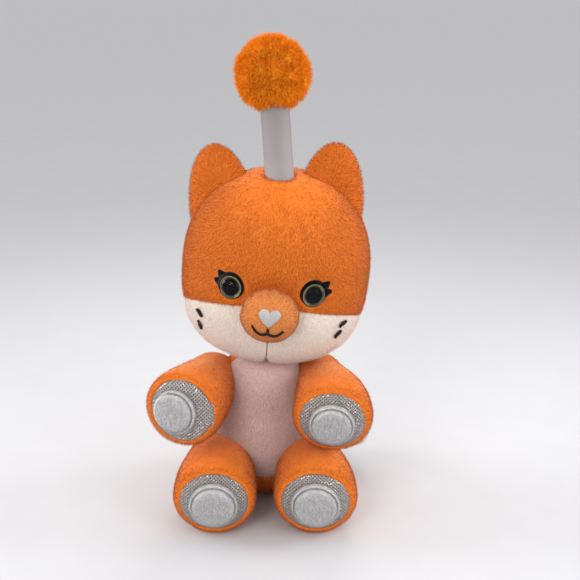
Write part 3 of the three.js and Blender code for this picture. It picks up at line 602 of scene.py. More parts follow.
def pile(
    name,
    skin,
    body,
    slot,
    shades,
    density,
    length,
    width,
    lean=2.6,
    seed=1,
    rows=1,
    jitter=0.4,
    clump=0.4,
    clump_scale=180.0,
    shade_scale=60.0,
    shade_noise=0.25,
    grain=(1.2, 1.2, 0.6),
    strays=0.02,
    curl=0.1,
):
    """A pile of strands rooted on a skin, which keeps how they lie in 'comb', 'thick' and 'tone'."""
    tree = bpy.data.node_groups.new(name, "GeometryNodeTree")
    for end in ("INPUT", "OUTPUT"):
        tree.interface.new_socket("Geometry", in_out=end, socket_type="NodeSocketGeometry")

    def geometry(kind, sockets=None, **settings):
        return add(tree, f"GeometryNode{kind}", settings, sockets)

    def kept(attribute):
        return geometry("InputNamedAttribute", {"Name": attribute}, data_type=COMBING[attribute])["Attribute"]

    def chance(low, high, step, kind="FLOAT", **more):
        sockets = {"Min": low, "Max": high, "Seed": seed * SEED_STEP + step, **more}
        return add(tree, "FunctionNodeRandomValue", {"data_type": kind}, sockets)["Value"]

    def vectors(operation, *values):
        return add(tree, "ShaderNodeVectorMath", {"operation": operation}, dict(enumerate(values)))["Vector"]

    def times(vector, by):
        return add(tree, "ShaderNodeVectorMath", {"operation": "SCALE"}, {0: vector, "Scale": by})["Vector"]

    def turned(kind, sockets, **settings):
        return add(tree, f"FunctionNode{kind}", settings, sockets)["Rotation"]

    thick = kept("thick")
    spots = {
        "Mesh": add(tree, "NodeGroupInput")["Geometry"],
        "Density": thick.clamped() * (density * 1e6),
        "Seed": seed,
    }
    spread = geometry("DistributePointsOnFaces", spots, distribute_method="RANDOM")
    stray = chance(0, 1, 7).below(strays)
    grained = vectors("MULTIPLY", geometry("InputPosition")["Position"], grain)
    tufting = {"Vector": grained, "Scale": clump_scale, "Detail": 1.0}
    tuft = add(tree, "ShaderNodeTexNoise", {}, tufting)["Color"]
    tufted = times(vectors("SUBTRACT", tuft, (0.5, 0.5, 0.5)), clump * 3)
    loose = times(chance((-1, -1, -1), (1, 1, 1), 1, "FLOAT_VECTOR"), jitter)
    lying = times(kept("comb"), chance(0.35, 1.35, 6) * lean * (1 - stray * 0.5))
    way = vectors("ADD", vectors("ADD", vectors("ADD", lying, tufted), loose), spread["Normal"])
    upright = turned("AlignRotationToVector", {"Vector": way}, axis="Z")
    sockets = {"Rotation": upright, "Vector": spread["Normal"]}
    faced = turned("AlignRotationToVector", sockets, axis="Y", pivot_axis="Z")
    rolled = turned("AxisAngleToRotation", {"Axis": UP, "Angle": chance(-1.0, 1.0, 2)})
    rolled = turned("RotateRotation", {"Rotation": faced, "Rotate By": rolled}, rotation_space="LOCAL")
    long = chance(0.7, 1.25, 3) * thick * (1 + stray * 0.3) * (length * MM)
    wide = chance(0.75, 1.25, 4) * (width * MM)
    size = add(tree, "ShaderNodeCombineXYZ", {}, {"X": wide, "Y": long, "Z": long})["Vector"]
    strand = blade(rows, curl)
    marked = {"Geometry": spread["Points"], "Name": "stray", "Value": stray}
    planted = {
        "Points": geometry("StoreNamedAttribute", marked, data_type="FLOAT", domain="POINT")["Geometry"],
        "Instance": geometry("ObjectInfo", {"Object": strand})["Geometry"],
        "Rotation": rolled,
        "Scale": size,
    }
    planted = geometry("InstanceOnPoints", planted)["Instances"]
    real = geometry("RealizeInstances", {"Geometry": planted})["Geometry"]
    which = (geometry("InputIndex")["Index"] / rows).whole()
    odd = chance(-shade_noise, shade_noise, 5, ID=which)
    patch = (speckle(tree, grained, shade_scale) - 0.5) * 0.8
    # The tone moves a strand to a darker or lighter shade, which paints shade and light where a skin sets it;
    # stray strands are picked paler, as pale fibres and as painted light at the rims.
    shade = (patch + odd + kept("tone") + kept("stray") * 0.5 + 0.64).clamped() * (len(shades) - 0.01)
    dyed = geometry("SetMaterialIndex", {"Geometry": real, "Material Index": shade.whole()})["Geometry"]
    add(tree, "NodeGroupOutput", {}, {"Geometry": dyed})
    ob = linked(name, skin.data)
    ob.modifiers.new("pile", "NODES").node_group = tree
    apply_all(ob)
    ob.data.materials.clear()
    for shade in shades:
        ob.data.materials.append(shade)
    ob.data.shade_smooth()
    uncombed(ob.data)
    bpy.data.node_groups.remove(tree)
    bpy.data.objects.remove(strand)
    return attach(ob, body)


def combed(ob, way, thick=None, tone=None):
    """Keeps on a skin which way its pile lies, how thick it stands and how light it is."""
    places = [v.co / MM for v in ob.data.vertices]
    values = {
        "comb": [share for place in places for share in Vector(way(place)).normalized()],
        "thick": [thick(place) if thick else 1.0 for place in places],
        "tone": [tone(place) if tone else 0.0 for place in places],
    }
    for name, found in values.items():
        made = ob.data.attributes.new(name, COMBING[name], "POINT")
        made.data.foreach_set("vector" if name == "comb" else "value", found)


# Settings
def colour_setting(name, description, default):
    shared = {"subtype": "COLOR_GAMMA", "min": 0, "max": 1}
    return bpy.props.FloatVectorProperty(name=name, description=description, default=default, **shared)


def number_setting(name, description, default, **limits):
    return bpy.props.FloatProperty(name=name, description=description, default=default, **limits)


class FoxPlush(bpy.types.PropertyGroup):
    orange: colour_setting("Orange", "Dye of the orange plush", (1.0, 0.5, 0.155))
    # Written paler than the orange, though it is the same plush: painted light on the muzzle.
    muzzle: colour_setting("Muzzle", "Dye of the paler plush on the muzzle", (1.0, 0.6, 0.32))
    # Off-white, warmed towards pink as painted light bounced from the orange plush.
    white: colour_setting("White", "Colour of the white plush", (1.0, 0.92, 0.87))
    # A pinkish white, darkened as painted shade under the head and arms.
    tummy: colour_setting("Tummy", "Colour of the panel down the front", (0.84, 0.72, 0.69))
    density: number_setting("Density", "Strands on each square millimetre", 5.5, min=0.5, max=12)
    length: number_setting("Pile length", "Length of a strand in millimetres", 1.4, min=0.3, max=6)
    width: number_setting("Strand width", "Width of a strand in millimetres", 0.16, min=0.05, max=1)


class FoxFace(bpy.types.PropertyGroup):
    iris: colour_setting("Iris", "Paint of the ring round the pupil", (0.57, 0.57, 0.4))
    nose: colour_setting("Nose", "Thread of the heart-shaped nose", (0.76, 0.74, 0.74))
    mouth: colour_setting("Mouth", "Thread of the mouth and the cheek marks", (0.12, 0.05, 0.035))
    thread: number_setting("Thread", "Radius of one thread in millimetres", 0.2, min=0.05, max=0.6)


class FoxPaws(bpy.types.PropertyGroup):
    silver: colour_setting("Silver", "Colour of the knitted silver cloth", (0.63, 0.6, 0.585))
    velour: colour_setting("Velour", "Colour of the raised discs", (0.86, 0.85, 0.85))


class FoxRod(bpy.types.PropertyGroup):
    tube: colour_setting("Rod", "Colour of the rod", (0.6, 0.57, 0.575))
    fur: colour_setting("Pompom", "Dye of the pompom", (1.0, 0.8, 0.18))
    fur_length: number_setting("Fur length", "Length of the pompom's fur in millimetres", 3.8, min=2, max=15)


class FoxStage(bpy.types.PropertyGroup):
    floor: colour_setting("Floor", "Colour of the floor", (0.81, 0.81, 0.82))
    key: number_setting("Key light", "Power of the main lamp", 0.7, min=0, unit="POWER")
    fill: number_setting("Fill light", "Power of each lamp opposite and behind", 0.4, min=0, unit="POWER")
    rim: number_setting("Rim light", "Power of each lamp at the sides", 0.62, min=0, unit="POWER")
    sky: number_setting("Sky", "Strength of the even light all round", 0.85, min=0)


class FoxBuilder(bpy.types.Operator):
    bl_options = {"REGISTER", "UNDO"}

    def execute(self, context):
        self.make(context.scene)
        return {"FINISHED"}


# Mixed into the palest orange shade: pale fibre tips, and painted rim light where the tone picks that shade.
PALE_TIPS_AND_RIM_LIGHT = (1.0, 0.84, 0.64)


def plush_looks(scene, tone):
    """The backing of one plush and the shades of its strands."""
    colour = tuple(getattr(scene.fox_plush, tone))
    key = f"{tone} plush"
    if key not in bpy.data.materials:
        backing(key, shaded(colour, 0.97))
        if tone in ("orange", "muzzle"):
            pale = tuple(c * 0.6 + 0.4 * p for c, p in zip(colour, PALE_TIPS_AND_RIM_LIGHT))
            # The darkest orange shade also serves as painted shade in creases, and the palest as painted light
            # on rims.
            shades = [*(shaded(colour, by) for by in (0.66, 0.83, 0.93)), colour, pale]
            sheen = 0.9
        else:
            shades = [shaded(colour, by) for by in (0.84, 0.92, 0.96, 1, 1.04)]
            sheen = 0.5
        strand_shades(f"{tone} strands", shades, sheen, tuple(0.4 + c * 0.6 for c in colour))
    return bpy.data.materials[key], [bpy.data.materials[f"{tone} strands {i + 1}"] for i in range(5)]


def grow_plush(scene, name, skin, body, slot, tone, seed, density=1.0, length=1.0, **more):
    """The pile on one plush skin, with fewer strands where it is white."""
    plush = scene.fox_plush
    if tone in ("white", "tummy"):
        density *= 0.75
    sizes = (plush.density * density, plush.length * length, plush.width)
    return pile(name, skin, body, slot, plush_looks(scene, tone)[1], *sizes, seed=seed, **more)


# Head
def seam_height(place):
    """How far a place in the head's own frame is above the seam between hood and cheeks."""
    return (place.y + HEAD.half.y) * math.sin(SEAM_SLOPE) + (place.z + SEAM_DROP) * math.cos(SEAM_SLOPE)


def from_muzzle(local):
    """0 at the middle of the muzzle and 1 on its outline, for a place in the muzzle's own frame."""
    if local.y > 14:
        return 2.0
    return math.hypot(local.x / MUZZLE.half.x, local.z / MUZZLE.half.z)


def mark_frame(mark):
    """A frame on the skin, with X along one of the marks on the cheeks."""
    out, down, tilt = CHEEK_MARKS[mark]
    return FACE @ HEAD.place(out, -down, TWIST) @ turn(tilt, "Z")


def dent(place, middle, reach):
    """1 in the middle of a soft dent, and next to nothing at twice its reach."""
    return math.exp(-(((place - middle).length / reach) ** 2))


def head_form():
    """The stuffed head about its own centre, with its seams pinned in."""
    bm = rounded_cage(26)
    for v in bm.verts:
        v.co = HEAD.point(v.co) * (1 - SLACK / 48)
    seam = cut_along(bm, seam_height)
    side = cut_along(bm, lambda p: p.y - SIDE_SEAM)
    chin = cut_along(bm, lambda p: p.x)
    seams = {v for v in seam if v.co.y <= SIDE_SEAM + 0.01}
    seams.update(v for v in side if seam_height(v.co) <= 0.01)
    seams.update(v for v in chin if seam_height(v.co) <= 0.01 and v.co.y <= SIDE_SEAM)
    sewn(bm, seams, depth=0.7, cap=1.3, pressure=3.0)
    bm.normal_update()
    eyes = [(FACE.inverted() @ at).translation for at in EYES.values()]
    muzzle_in = MUZZLE_FRAME.inverted() @ FACE
    foot = FACE.inverted() @ ROD_FRAME @ Vector((0, -ROD_RADIUS - 2, 0))
    for v in bm.verts:
        dip = sum(1.5 * dent(v.co, eye, 9.0) for eye in eyes) - 2.0 * dent(v.co, foot, 10.0)
        if v.co.y < 0:
            dip += 1.6 * smoothstep(1.35, 1.0, from_muzzle(muzzle_in @ v.co))
            if seam_height(v.co) < 0:
                dip += 0.7 * math.exp(-((v.co.x / 2.0) ** 2))
        v.co -= v.normal * dip
    return bm


def which_panel(middle):
    """The part of the head's cover that a face belongs to."""
    if seam_height(middle) > 0 or middle.y > SIDE_SEAM:
        return "hood"
    return "left" if middle.x > 0 else "right"


class FOX_OT_head(FoxBuilder):
    """Sew and stuff the head: the orange hood and the two white cheeks"""

    bl_idname = "fox.head"
    bl_label = "Head"

    def make(self, scene):
        bm = head_form()
        face_in = FACE.inverted()
        muzzle_in = MUZZLE_FRAME.inverted()
        eyes_in = [(SIDES[name], at.inverted()) for name, at in EYES.items()]
        rod_in = ROD_FRAME.inverted()
        rod_up = ROD_FRAME.to_3x3() @ UP
        marks_in = [mark_frame(mark).inverted() for mark in CHEEK_MARKS]

        def from_rod(place):
            """How far a place on the crown is from the middle of the rod, and far for any other place."""
            at = rod_in @ place
            return math.hypot(at.x, at.y) if at.z > -20 else 99

        def way(place):
            local = face_in @ place
            down = FACE.to_3x3() @ Vector((local.x / 60, 0.1 * (local.y > 0), -1))
            beside = smoothstep(ROD_RADIUS + 2.5, ROD_RADIUS + 0.3, from_rod(place))
            return down.lerp(rod_up, beside * 0.8)

        def thick(place):
            bare = smoothstep(0.82, 1.0, from_muzzle(muzzle_in @ place))
            bare *= smoothstep(ROD_RADIUS - 1.2, ROD_RADIUS - 0.2, from_rod(place))
            for side, eye_in in eyes_in:
                at = eye_in @ place
                around = math.hypot(at.x, at.y) if at.z > -12 else 99
                bare *= smoothstep(FELT_RADIUS, FELT_RADIUS + 1.6, around)
                if -6 < math.degrees(math.atan2(at.y, side * at.x)) < 52:  # under the lashes
                    bare *= 0.25 + 0.75 * smoothstep(9.5, 11.0, around)
            for mark_in in marks_in:
                at = mark_in @ place
                if abs(at.z) < 8:
                    bare *= 0.3 + 0.7 * smoothstep(1.0, 1.5, math.hypot(at.x / 2.6, at.y / 1.2))
            local = face_in @ place
            if local.y < 0 and seam_height(local) < 0:
                bare *= 0.35 + 0.65 * smoothstep(0.4, 1.6, abs(local.x))
            return bare

        def tone(place):
            local = face_in @ place
            # Painted shade: darker strands in the crease round the muzzle (beside) and along the chin seam
            # (chin). Painted light: lighter strands round the rod's foot (foot), against the shade where the
            # pile stands up there. The head also goes lighter towards the chin and darker towards the crown
            # (low).
            chin = smoothstep(2.6, 0.8, abs(local.x)) * (local.y < 0) * (seam_height(local) < 0)
            foot = smoothstep(ROD_RADIUS + 4, ROD_RADIUS, from_rod(place))
            low = 0.34 * smoothstep(18, -14, local.z) - 0.28 * smoothstep(8, 34, local.z)
            beside = smoothstep(1.24, 1.04, from_muzzle(muzzle_in @ place))
            return 0.12 * foot + low - 1.1 * beside - 0.35 * chin - 0.06

        panels = (
            ("head_hood_plush", "hood", "orange", "orange_plush", ("head_hood", "head_filling")),
            ("cheek_left_plush", "left", "white", "white_plush", ("cheek_left",)),
            ("cheek_right_plush", "right", "white", "white_plush", ("cheek_right",)),
        )
        for seed, (name, panel, dye, slot, nodes) in enumerate(panels):
            cut = part_of(bm, lambda middle: which_panel(middle) == panel)
            skin = piece(name, cut, "head", slot, plush_looks(scene, dye)[0], FACE)
            combed(skin, way, thick, tone)
            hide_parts(*nodes)
            grow_plush(scene, name.replace("plush", "pile"), skin, "head", slot, dye, seed=11 + seed)
            lined(skin, COVER)
        bm.free()


class FOX_OT_ears(FoxBuilder):
    """Sew the two ears on the crown"""

    bl_idname = "fox.ears"
    bl_label = "Ears"

    half_width, half_thick, length, rows, around = 17.8, 6.2, 36, 26, 40
    sunk_share = 0.35  # of the rows, which are inside the head

    def form(self):
        bm, spots = globe(self.around, self.rows)
        for v, row, angle in spots:
            above = row / self.rows - self.sunk_share
            share = math.sin(above / (1 - self.sunk_share) * math.pi / 2) if above > 0 else 0.0
            sunk = min(0.0, above) / self.sunk_share
            x = self.half_width * (1 - share**2) ** 0.5 * (1 - sunk**4) ** 0.5 * math.cos(angle)
            y = self.half_thick * (1 - share**2.4) ** (1 / 2.4) * (1 - sunk**4) ** 0.5 * math.sin(angle)
            if y < 0:
                y += 3.4 * math.exp(-((x / 9.0) ** 2) - ((share - 0.3) / 0.35) ** 2)
            v.co = Vector((x, y, share * self.length + sunk * 7))
        bmesh.ops.recalc_face_normals(bm, faces=bm.faces[:])
        sunk_rows = self.rows * self.sunk_share
        seam = [v for v, row, angle in spots if abs(math.sin(angle)) < 0.05 or row < sunk_rows]
        stuffed(bm, seam, cap=0.8)
        return bm

    def make(self, scene):
        face_in = FACE.inverted()
        for name, ear in EARS.items():
            side = ear["side"]
            root = Matrix.Translation((side * ear["root"], 0, ear["rise"]))
            place = FACE @ root @ turn(side * ear["lean"], "Y") @ turn(side * 14, "Z")
            look = plush_looks(scene, "orange")[0]
            skin = piece(f"ear_{name}_plush", self.form(), "head", "orange_plush", look, place)
            inverse = place.inverted()

            def depth(point):
                return HEAD.inside(HEAD.centre + face_in @ point)

            def way(point):
                return place.to_3x3() @ Vector(((inverse @ point).x / 14, 0, 1))

            def tone(point):
                local = inverse @ point
                up = local.z / self.length
                rim = abs(local.x) / max(1.0, self.half_width * math.sqrt(max(0.0, 1 - up**2)))
                # pale: painted rim light, paler strands along the ear's edge and at its tip.
                pale = 0.55 * smoothstep(0.6, 1.0, max(rim, up + 0.1))
                # base: painted shade, darker strands in the front hollow and where the ear meets the head.
                base = 0.75 * smoothstep(-13, -1, depth(point)) if local.y < 1 else 0.2
                return pale - base + 0.05

            combed(skin, way, lambda point: smoothstep(6, 3, depth(point)), tone)
            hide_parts(f"ear_{name}")
            grow_plush(scene, f"ear_{name}_pile", skin, "head", "orange_plush", "orange", seed=21 + side)


class FOX_OT_muzzle(FoxBuilder):
    """Stuff the muzzle and sew it on the face"""

    bl_idname = "fox.muzzle"
    bl_label = "Muzzle"

    def make(self, scene):
        bm = rounded_cage(14)
        for v in bm.verts:
            v.co = MUZZLE.point(v.co.normalized()) * (1 - 0.5 / 14)
        stuffed(bm, [v for v in bm.verts if v.co.y > 3], cap=0.7, pressure=3.0)
        for v in bm.verts:
            angle = math.atan2(v.co.z, v.co.x)
            gathers = 0.35 + 0.35 * math.sin(angle * 13 + 2 * math.sin(angle * 3))
            v.co -= v.co.normalized() * smoothstep(-7, 1, v.co.y) * gathers
        skin = piece("muzzle_plush", bm, "head", "orange_plush", plush_looks(scene, "muzzle")[0], MUZZLE_FRAME)
        inverse = MUZZLE_FRAME.inverted()

        def way(point):
            local = inverse @ point
            return MUZZLE_FRAME.to_3x3() @ Vector((local.x / 10, 0, local.z / 10 - 0.4))

        def thick(point):
            return smoothstep(5, 2, (inverse @ point).y)

        # Painted shade: darker strands towards the back of the muzzle, in the crease where it meets the face; a
        # little lighter at the front.
        combed(skin, way, thick, lambda point: 0.15 - 1.1 * smoothstep(-3, 3, (inverse @ point).y))
        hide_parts("muzzle_cover", "muzzle_filling")
        sizes = {"density": 1.3, "length": 0.6}
        grow_plush(scene, "muzzle_pile", skin, "head", "orange_plush", "muzzle", seed=31, **sizes)


# Torso
def tummy_half(z):
    """Half the width of the panel down the front, at a height, on a smooth line through its shares."""
    share = (z - TUMMY_LOW) / (TUMMY_HIGH - TUMMY_LOW)
    if share <= 0:
        return -1.0
    widths, heights = zip(*TUMMY_SHARES)
    last = len(heights) - 1
    i = min(int(np.interp(share, heights, range(len(heights)))), last - 1)
    a, b, c, d = (widths[max(0, min(last, i + step))] for step in (-1, 0, 1, 2))
    u = (share - heights[i]) / (heights[i + 1] - heights[i])
    wide = 0.5 * (2 * b + (c - a) * u + (2 * a - 5 * b + 4 * c - d) * u * u + (3 * b - a - 3 * c + d) * u**3)
    return TUMMY_HALF * max(0.0, wide)


def torso_form():
    """The torso about its own centre, blended into the round neck."""
    bm = rounded_cage(20)
    rise = NECK.z - TORSO.centre.z
    for v in bm.verts:
        body = TORSO.point(v.co.normalized())
        ray = body.normalized()
        inside = NECK_RADIUS**2 - rise**2 * (1 - ray.z**2)
        neck = rise * ray.z + math.sqrt(inside) if inside > 0 else 0.0
        apart = max(0.0, 1 - abs(body.length - neck) / NECK_BLEND)
        v.co = ray * (max(body.length, neck) + apart**2 * NECK_BLEND / 4 - SLACK)
    return bm


def head_depth(place):
    """How many millimetres a place is inside the head, about."""
    return max(0.0, HEAD.inside(HEAD_FRAME.inverted() @ place))


class FOX_OT_torso(FoxBuilder):
    """Sew and stuff the torso, with the white panel down its front"""

    bl_idname = "fox.torso"
    bl_label = "Torso"

    def make(self, scene):
        bm = torso_form()
        shift = TORSO.centre

        def field(place):
            if place.y > -4:
                return -1.0
            z = place.z + shift.z
            return min(tummy_half(z) - abs(place.x), 4 * (z - TUMMY_LOW) + 0.01, -6 - place.y)

        sewn(bm, cut_along(bm, field), depth=0.6, cap=1.0)
        for v in bm.verts:
            v.co.z = max(v.co.z, FLOOR_GAP - shift.z)
        panels = (
            ("torso_plush", False, "orange", "orange_plush", ("torso_cover", "torso_filling", "pellet_bag")),
            ("tummy_plush", True, "tummy", "white_plush", ("tummy_panel",)),
        )
        for seed, (name, front, tone, slot, nodes) in enumerate(panels):
            cut = part_of(bm, lambda middle: (field(middle) > 0) == front)
            skin = piece(name, cut, "torso", slot, plush_looks(scene, tone)[0], Matrix.Translation(shift))
            combed(
                skin,
                lambda p: (p.x / 90, 0, -1),
                lambda p: smoothstep(0.6, 2.0, p.z) * smoothstep(0, 3, 13 - head_depth(p)),
            )
            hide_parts(*nodes)
            grown = name.replace("plush", "pile")
            grow_plush(scene, grown, skin, "torso", slot, tone, seed=41 + seed, grain=(1.7, 1.7, 0.35))
            lined(skin, COVER)
        bm.free()


# Limbs
class Limb:
    """A stuffed limb from its round root to its sole."""

    def __init__(self, name):
        self.form, *route = ROUTES[name]
        self.pivot, self.start, self.sole, self.out = (Vector(value) for value in route)
        self.start.normalize()
        self.out.normalize()
        self.disc_aside, self.pad_aside = ASIDE.get(name, (0, 0))
        self.rim = self.sole - self.out * self.form["rounding"]
        reach = (self.pivot - self.rim).length / 3
        handles = (self.pivot + self.start * reach, self.rim - self.out * reach)
        self.points = interpolate_bezier(self.pivot, *handles, self.rim, 64)
        self.steps = [0.0]
        for a, b in zip(self.points, self.points[1:]):
            self.steps.append(self.steps[-1] + (b - a).length)

    def along(self, share):
        """The place and the way of the middle line at a share of its length."""
        t = np.interp(share * self.steps[-1], self.steps, range(len(self.steps)))
        i = min(int(t), len(self.steps) - 2)
        a, b = self.points[i], self.points[i + 1]
        return a.lerp(b, float(t) - i), (b - a).normalized()

    @staticmethod
    def axes(forward):
        up = (UP - forward * forward.z).normalized()
        return up.cross(forward), up

    def ring(self, stage, share):
        """The middle, axes and radii of one ring. The stages are root, along, rim and sole."""
        form = self.form
        root, wide, tall = (form[size] - SLACK for size in ("root", "wide", "tall"))
        rounding = form["rounding"]
        if stage == "root":
            angle = share * math.pi / 2
            radius = root * math.sin(angle)
            return self.pivot - self.start * root * math.cos(angle), self.axes(self.start), radius, radius
        if stage == "along":
            at, forward = self.along(share)
            eased = share * share * (3 - 2 * share)
            belly = (form["belly"] - SLACK - (root + tall) / 2) * math.sin(math.pi * share)
            radii = [root + (end - root) * eased + belly for end in (wide, tall)]
            return at, self.axes(forward), *radii
        if stage == "rim":
            angle = share * math.pi / 2
            inward = rounding * (1 - math.cos(angle))
            at = self.rim + self.out * (rounding * math.sin(angle) - SLACK * share)
            return at, self.axes(self.out), wide - inward, tall - inward
        left = 1 - share
        at = self.sole + self.out * (0.5 * (1 - left**2) - SLACK)
        return at, self.axes(self.out), (wide - rounding) * left, (tall - rounding) * left

    def sole_frame(self):
        return framed(*self.axes(self.out), self.out, self.sole)

    def body(self, around=36):
        quarter = 1.57  # of a turn, about
        lengths = {
            "root": self.form["root"] * quarter,
            "along": self.steps[-1],
            "rim": self.form["rounding"] * quarter,
            "sole": self.form["wide"] - self.form["rounding"],
        }
        rows = []
        for stage, length in lengths.items():
            count = max(2, round(length / 2.6))
            rows += [(stage, (i + 1) / count) for i in range(count)]
        rows = [("root", 0.0), *rows]
        bm, spots = globe(around, len(rows) - 1)
        for v, row, angle in spots:
            at, (side, up), wide, tall = self.ring(*rows[row])
            v.co = at + side * (wide * math.cos(angle)) + up * (tall * math.sin(angle))
        bmesh.ops.recalc_face_normals(bm, faces=bm.faces[:])
        return bm

    def pad_field(self, place):
        """Above 0 on the sole pad."""
        wide, tall = self.form["pad"]
        local = self.sole_frame().inverted() @ place
        if local.z < -self.form["rounding"] * 0.9:
            return -1.0
        return 1 - math.hypot((local.x - self.pad_aside) / wide, local.y / tall)


def limb_combing(limb, skin):
    """Combs a limb down and forward, and outwards round its sole."""
    sole_in = limb.sole_frame().inverted()
    wide, tall = limb.form["pad"]

    def edge(point):
        """0 on the edge of the sole pad and 1 a few millimetres away from it."""
        local = sole_in @ point
        if local.z < -limb.form["rounding"] * 2:
            return 1.0
        return smoothstep(0, 3.5, (math.hypot(local.x / wide, local.y / tall) - 1) * wide)

    def way(point):
        share = edge(point)
        away = (point - limb.sole).normalized()
        lie = (limb.sole - limb.pivot).normalized() * 0.45 + Vector((0, 0, -0.9))
        return lie * (0.25 + 0.75 * share) + away * (1 - share)

    def thick(point):
        foot = smoothstep(0.6, 2.2, point.z) * smoothstep(5.5, 3.5, TORSO.inside(point))
        return foot * (0.75 + 0.25 * edge(point))

    # Lighter all over, and darker towards the edge of the sole pad.
    combed(skin, way, thick, lambda point: 0.14 - 0.12 * (1 - edge(point)))


class FOX_OT_limbs(FoxBuilder):
    """Sew and stuff the arms and legs, with a silver pad on each sole"""

    bl_idname = "fox.limbs"
    bl_label = "Limbs"

    def make(self, scene):
        silver = lame("Silver knit", tuple(scene.fox_paws.silver))
        orange = plush_looks(scene, "orange")[0]
        for seed, name in enumerate(PAWS):
            limb = Limb(name)
            bm = limb.body()
            sewn(bm, cut_along(bm, limb.pad_field), depth=0.9, cap=1.0)
            for v in bm.verts:
                v.co.z = max(v.co.z, FLOOR_GAP)
            bared(bm, depth=6.5)
            cover = part_of(bm, lambda middle: limb.pad_field(middle) <= 0)
            pad = part_of(bm, lambda middle: limb.pad_field(middle) > 0)
            bm.free()
            skin = piece(f"{name}_plush", cover, name, "orange_plush", orange)
            limb_combing(limb, skin)
            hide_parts(f"{name}_cover", f"{name}_filling")
            grow_plush(scene, f"{name}_pile", skin, name, "orange_plush", "orange", seed=51 + seed)
            lined(skin, COVER)
            sole = piece(f"{name}_sole", pad, name, "silver_lame", silver)
            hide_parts(f"{name}_sole_pad")
            lined(sole, 0.8)


class FOX_OT_discs(FoxBuilder):
    """Cover the raised round disc on each sole"""

    bl_idname = "fox.discs"
    bl_label = "Paw discs"

    def make(self, scene):
        colour = tuple(scene.fox_paws.velour)
        cloth = velour("White velour", colour)
        dyes = [shaded(colour, by) for by in (0.74, 0.88, 0.96, 1.02, 1.1)]
        shades = strand_shades("velour strands", dyes, tint=(0.9, 0.89, 0.9))
        nap = {"density": 8, "length": 0.9, "width": 0.2, "lean": 0.9, "clump": 0.7}
        nap.update(clump_scale=420.0, shade_scale=500.0, grain=(1.3, 1.3, 0.4))
        for seed, name in enumerate(PAWS):
            limb = Limb(name)
            radius = limb.form["disc"]
            edge = [(radius + inward, height) for inward, height in DISC_EDGE]
            top = [(radius + inward, DISC_HEIGHT + rise) for inward, rise in DISC_TOP]
            bm = spun([*edge, *top, (0, DISC_HEIGHT + 0.6)])
            place = limb.sole_frame() @ Matrix.Translation((limb.disc_aside, 0, 0.3))
            skin = piece(f"{name}_disc", bm, name, "white_velour", cloth, place)
            combed(skin, lambda p: place.to_3x3() @ Vector((0.2, -1, 0)))
            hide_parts(f"{name}_paw_disc")
            pile(f"{name}_disc_pile", skin, name, "white_velour", shades, seed=61 + seed, **nap)


class FOX_OT_tail(FoxBuilder):
    """Sew and stuff the tail with its white tip"""

    bl_idname = "fox.tail"
    bl_label = "Tail"

    def make(self, scene):
        limb = Limb("tail")
        bm = limb.body(28)
        at, forward = limb.along(TIP_SHARE)
        sewn(bm, cut_along(bm, lambda p: (p - at).dot(forward)), depth=0.6, cap=0.8)
        bared(bm, depth=5)
        parts = (
            ("tail", False, "orange", ("tail_cover", "tail_filling")),
            ("tail_tip", True, "white", ("tail_tip",)),
        )
        for seed, (name, tip, tone, nodes) in enumerate(parts):
            cut = part_of(bm, lambda middle: ((middle - at).dot(forward) > 0) == tip)
            skin = piece(f"{name}_plush", cut, "tail", f"{tone}_plush", plush_looks(scene, tone)[0])
            combed(skin, lambda p: forward)
            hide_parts(*nodes)
            grow_plush(scene, f"{name}_pile", skin, "tail", f"{tone}_plush", tone, seed=71 + seed, length=1.3)
            lined(skin, 1.0)
        bm.free()


# Face
class Drape:
    """Lays flat drawings on the surface of a made piece, in millimetres."""

    above = 25  # where the rays start, in front of the face

    def __init__(self, *names):
        self.trees = []
        for name in names:
            bm = bmesh.new()
            bm.from_mesh(bpy.data.objects[name].data)
            bmesh.ops.transform(bm, matrix=Matrix.Scale(1 / MM, 4), verts=bm.verts)
            self.trees.append(BVHTree.FromBMesh(bm))
            bm.free()

    def at(self, place, x, y, lift):
        out = place.to_3x3() @ UP
        origin = place @ Vector((x, y, self.above))
        hits = [t.ray_cast(origin, -out) for t in self.trees]
        hits = [h for h in hits if h[0] is not None]
        if not hits:
            raise RuntimeError("a drawing on the face misses the piece it lies on")
        point, normal = min(hits, key=lambda h: h[3])[:2]
        return point + normal * lift


def stitches(name, paths, radius, body, look):
    """Threads along paths in millimetres, as one mesh."""
    curve = bpy.data.curves.new(name, "CURVE")
    curve.dimensions = "3D"
    curve.bevel_depth = radius * MM
    curve.bevel_resolution = 1
    curve.use_fill_caps = True
    for path in paths:
        spline = curve.splines.new("POLY")
        spline.points.add(len(path) - 1)
        for point, place in zip(spline.points, path):
            point.co = (*(place * MM), 1)
    source = bpy.data.objects.new(name, curve)
    mesh = bpy.data.meshes.new_from_object(source)
    bpy.data.objects.remove(source)
    bpy.data.curves.remove(curve)
    mesh.materials.clear()
    mesh.materials.append(look)
    mesh.shade_smooth()
    ob = linked(name, mesh)
    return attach(ob, body)


def satin(drape, place, ends, lift, crown):
    """One path for each pair of ends, arched over its middle."""
    paths = []
    for a, b in ends:
        path = []
        for i in range(5):
            t = i / 4
            x, y = a[0] + (b[0] - a[0]) * t, a[1] + (b[1] - a[1]) * t
            height = lift + crown * math.sin(math.pi * t) ** 0.6 - 0.5 * (t in (0, 1))
            path.append(drape.at(place, x, y, height))
        paths.append(path)
    return paths


def bezier2(points, count):
    """A flat curve from the first point to the last, drawn towards the one between."""
    a, b, c = (Vector(p) for p in points)
    return [a * (1 - t) ** 2 + b * 2 * t * (1 - t) + c * t * t for t in (i / (count - 1) for i in range(count))]


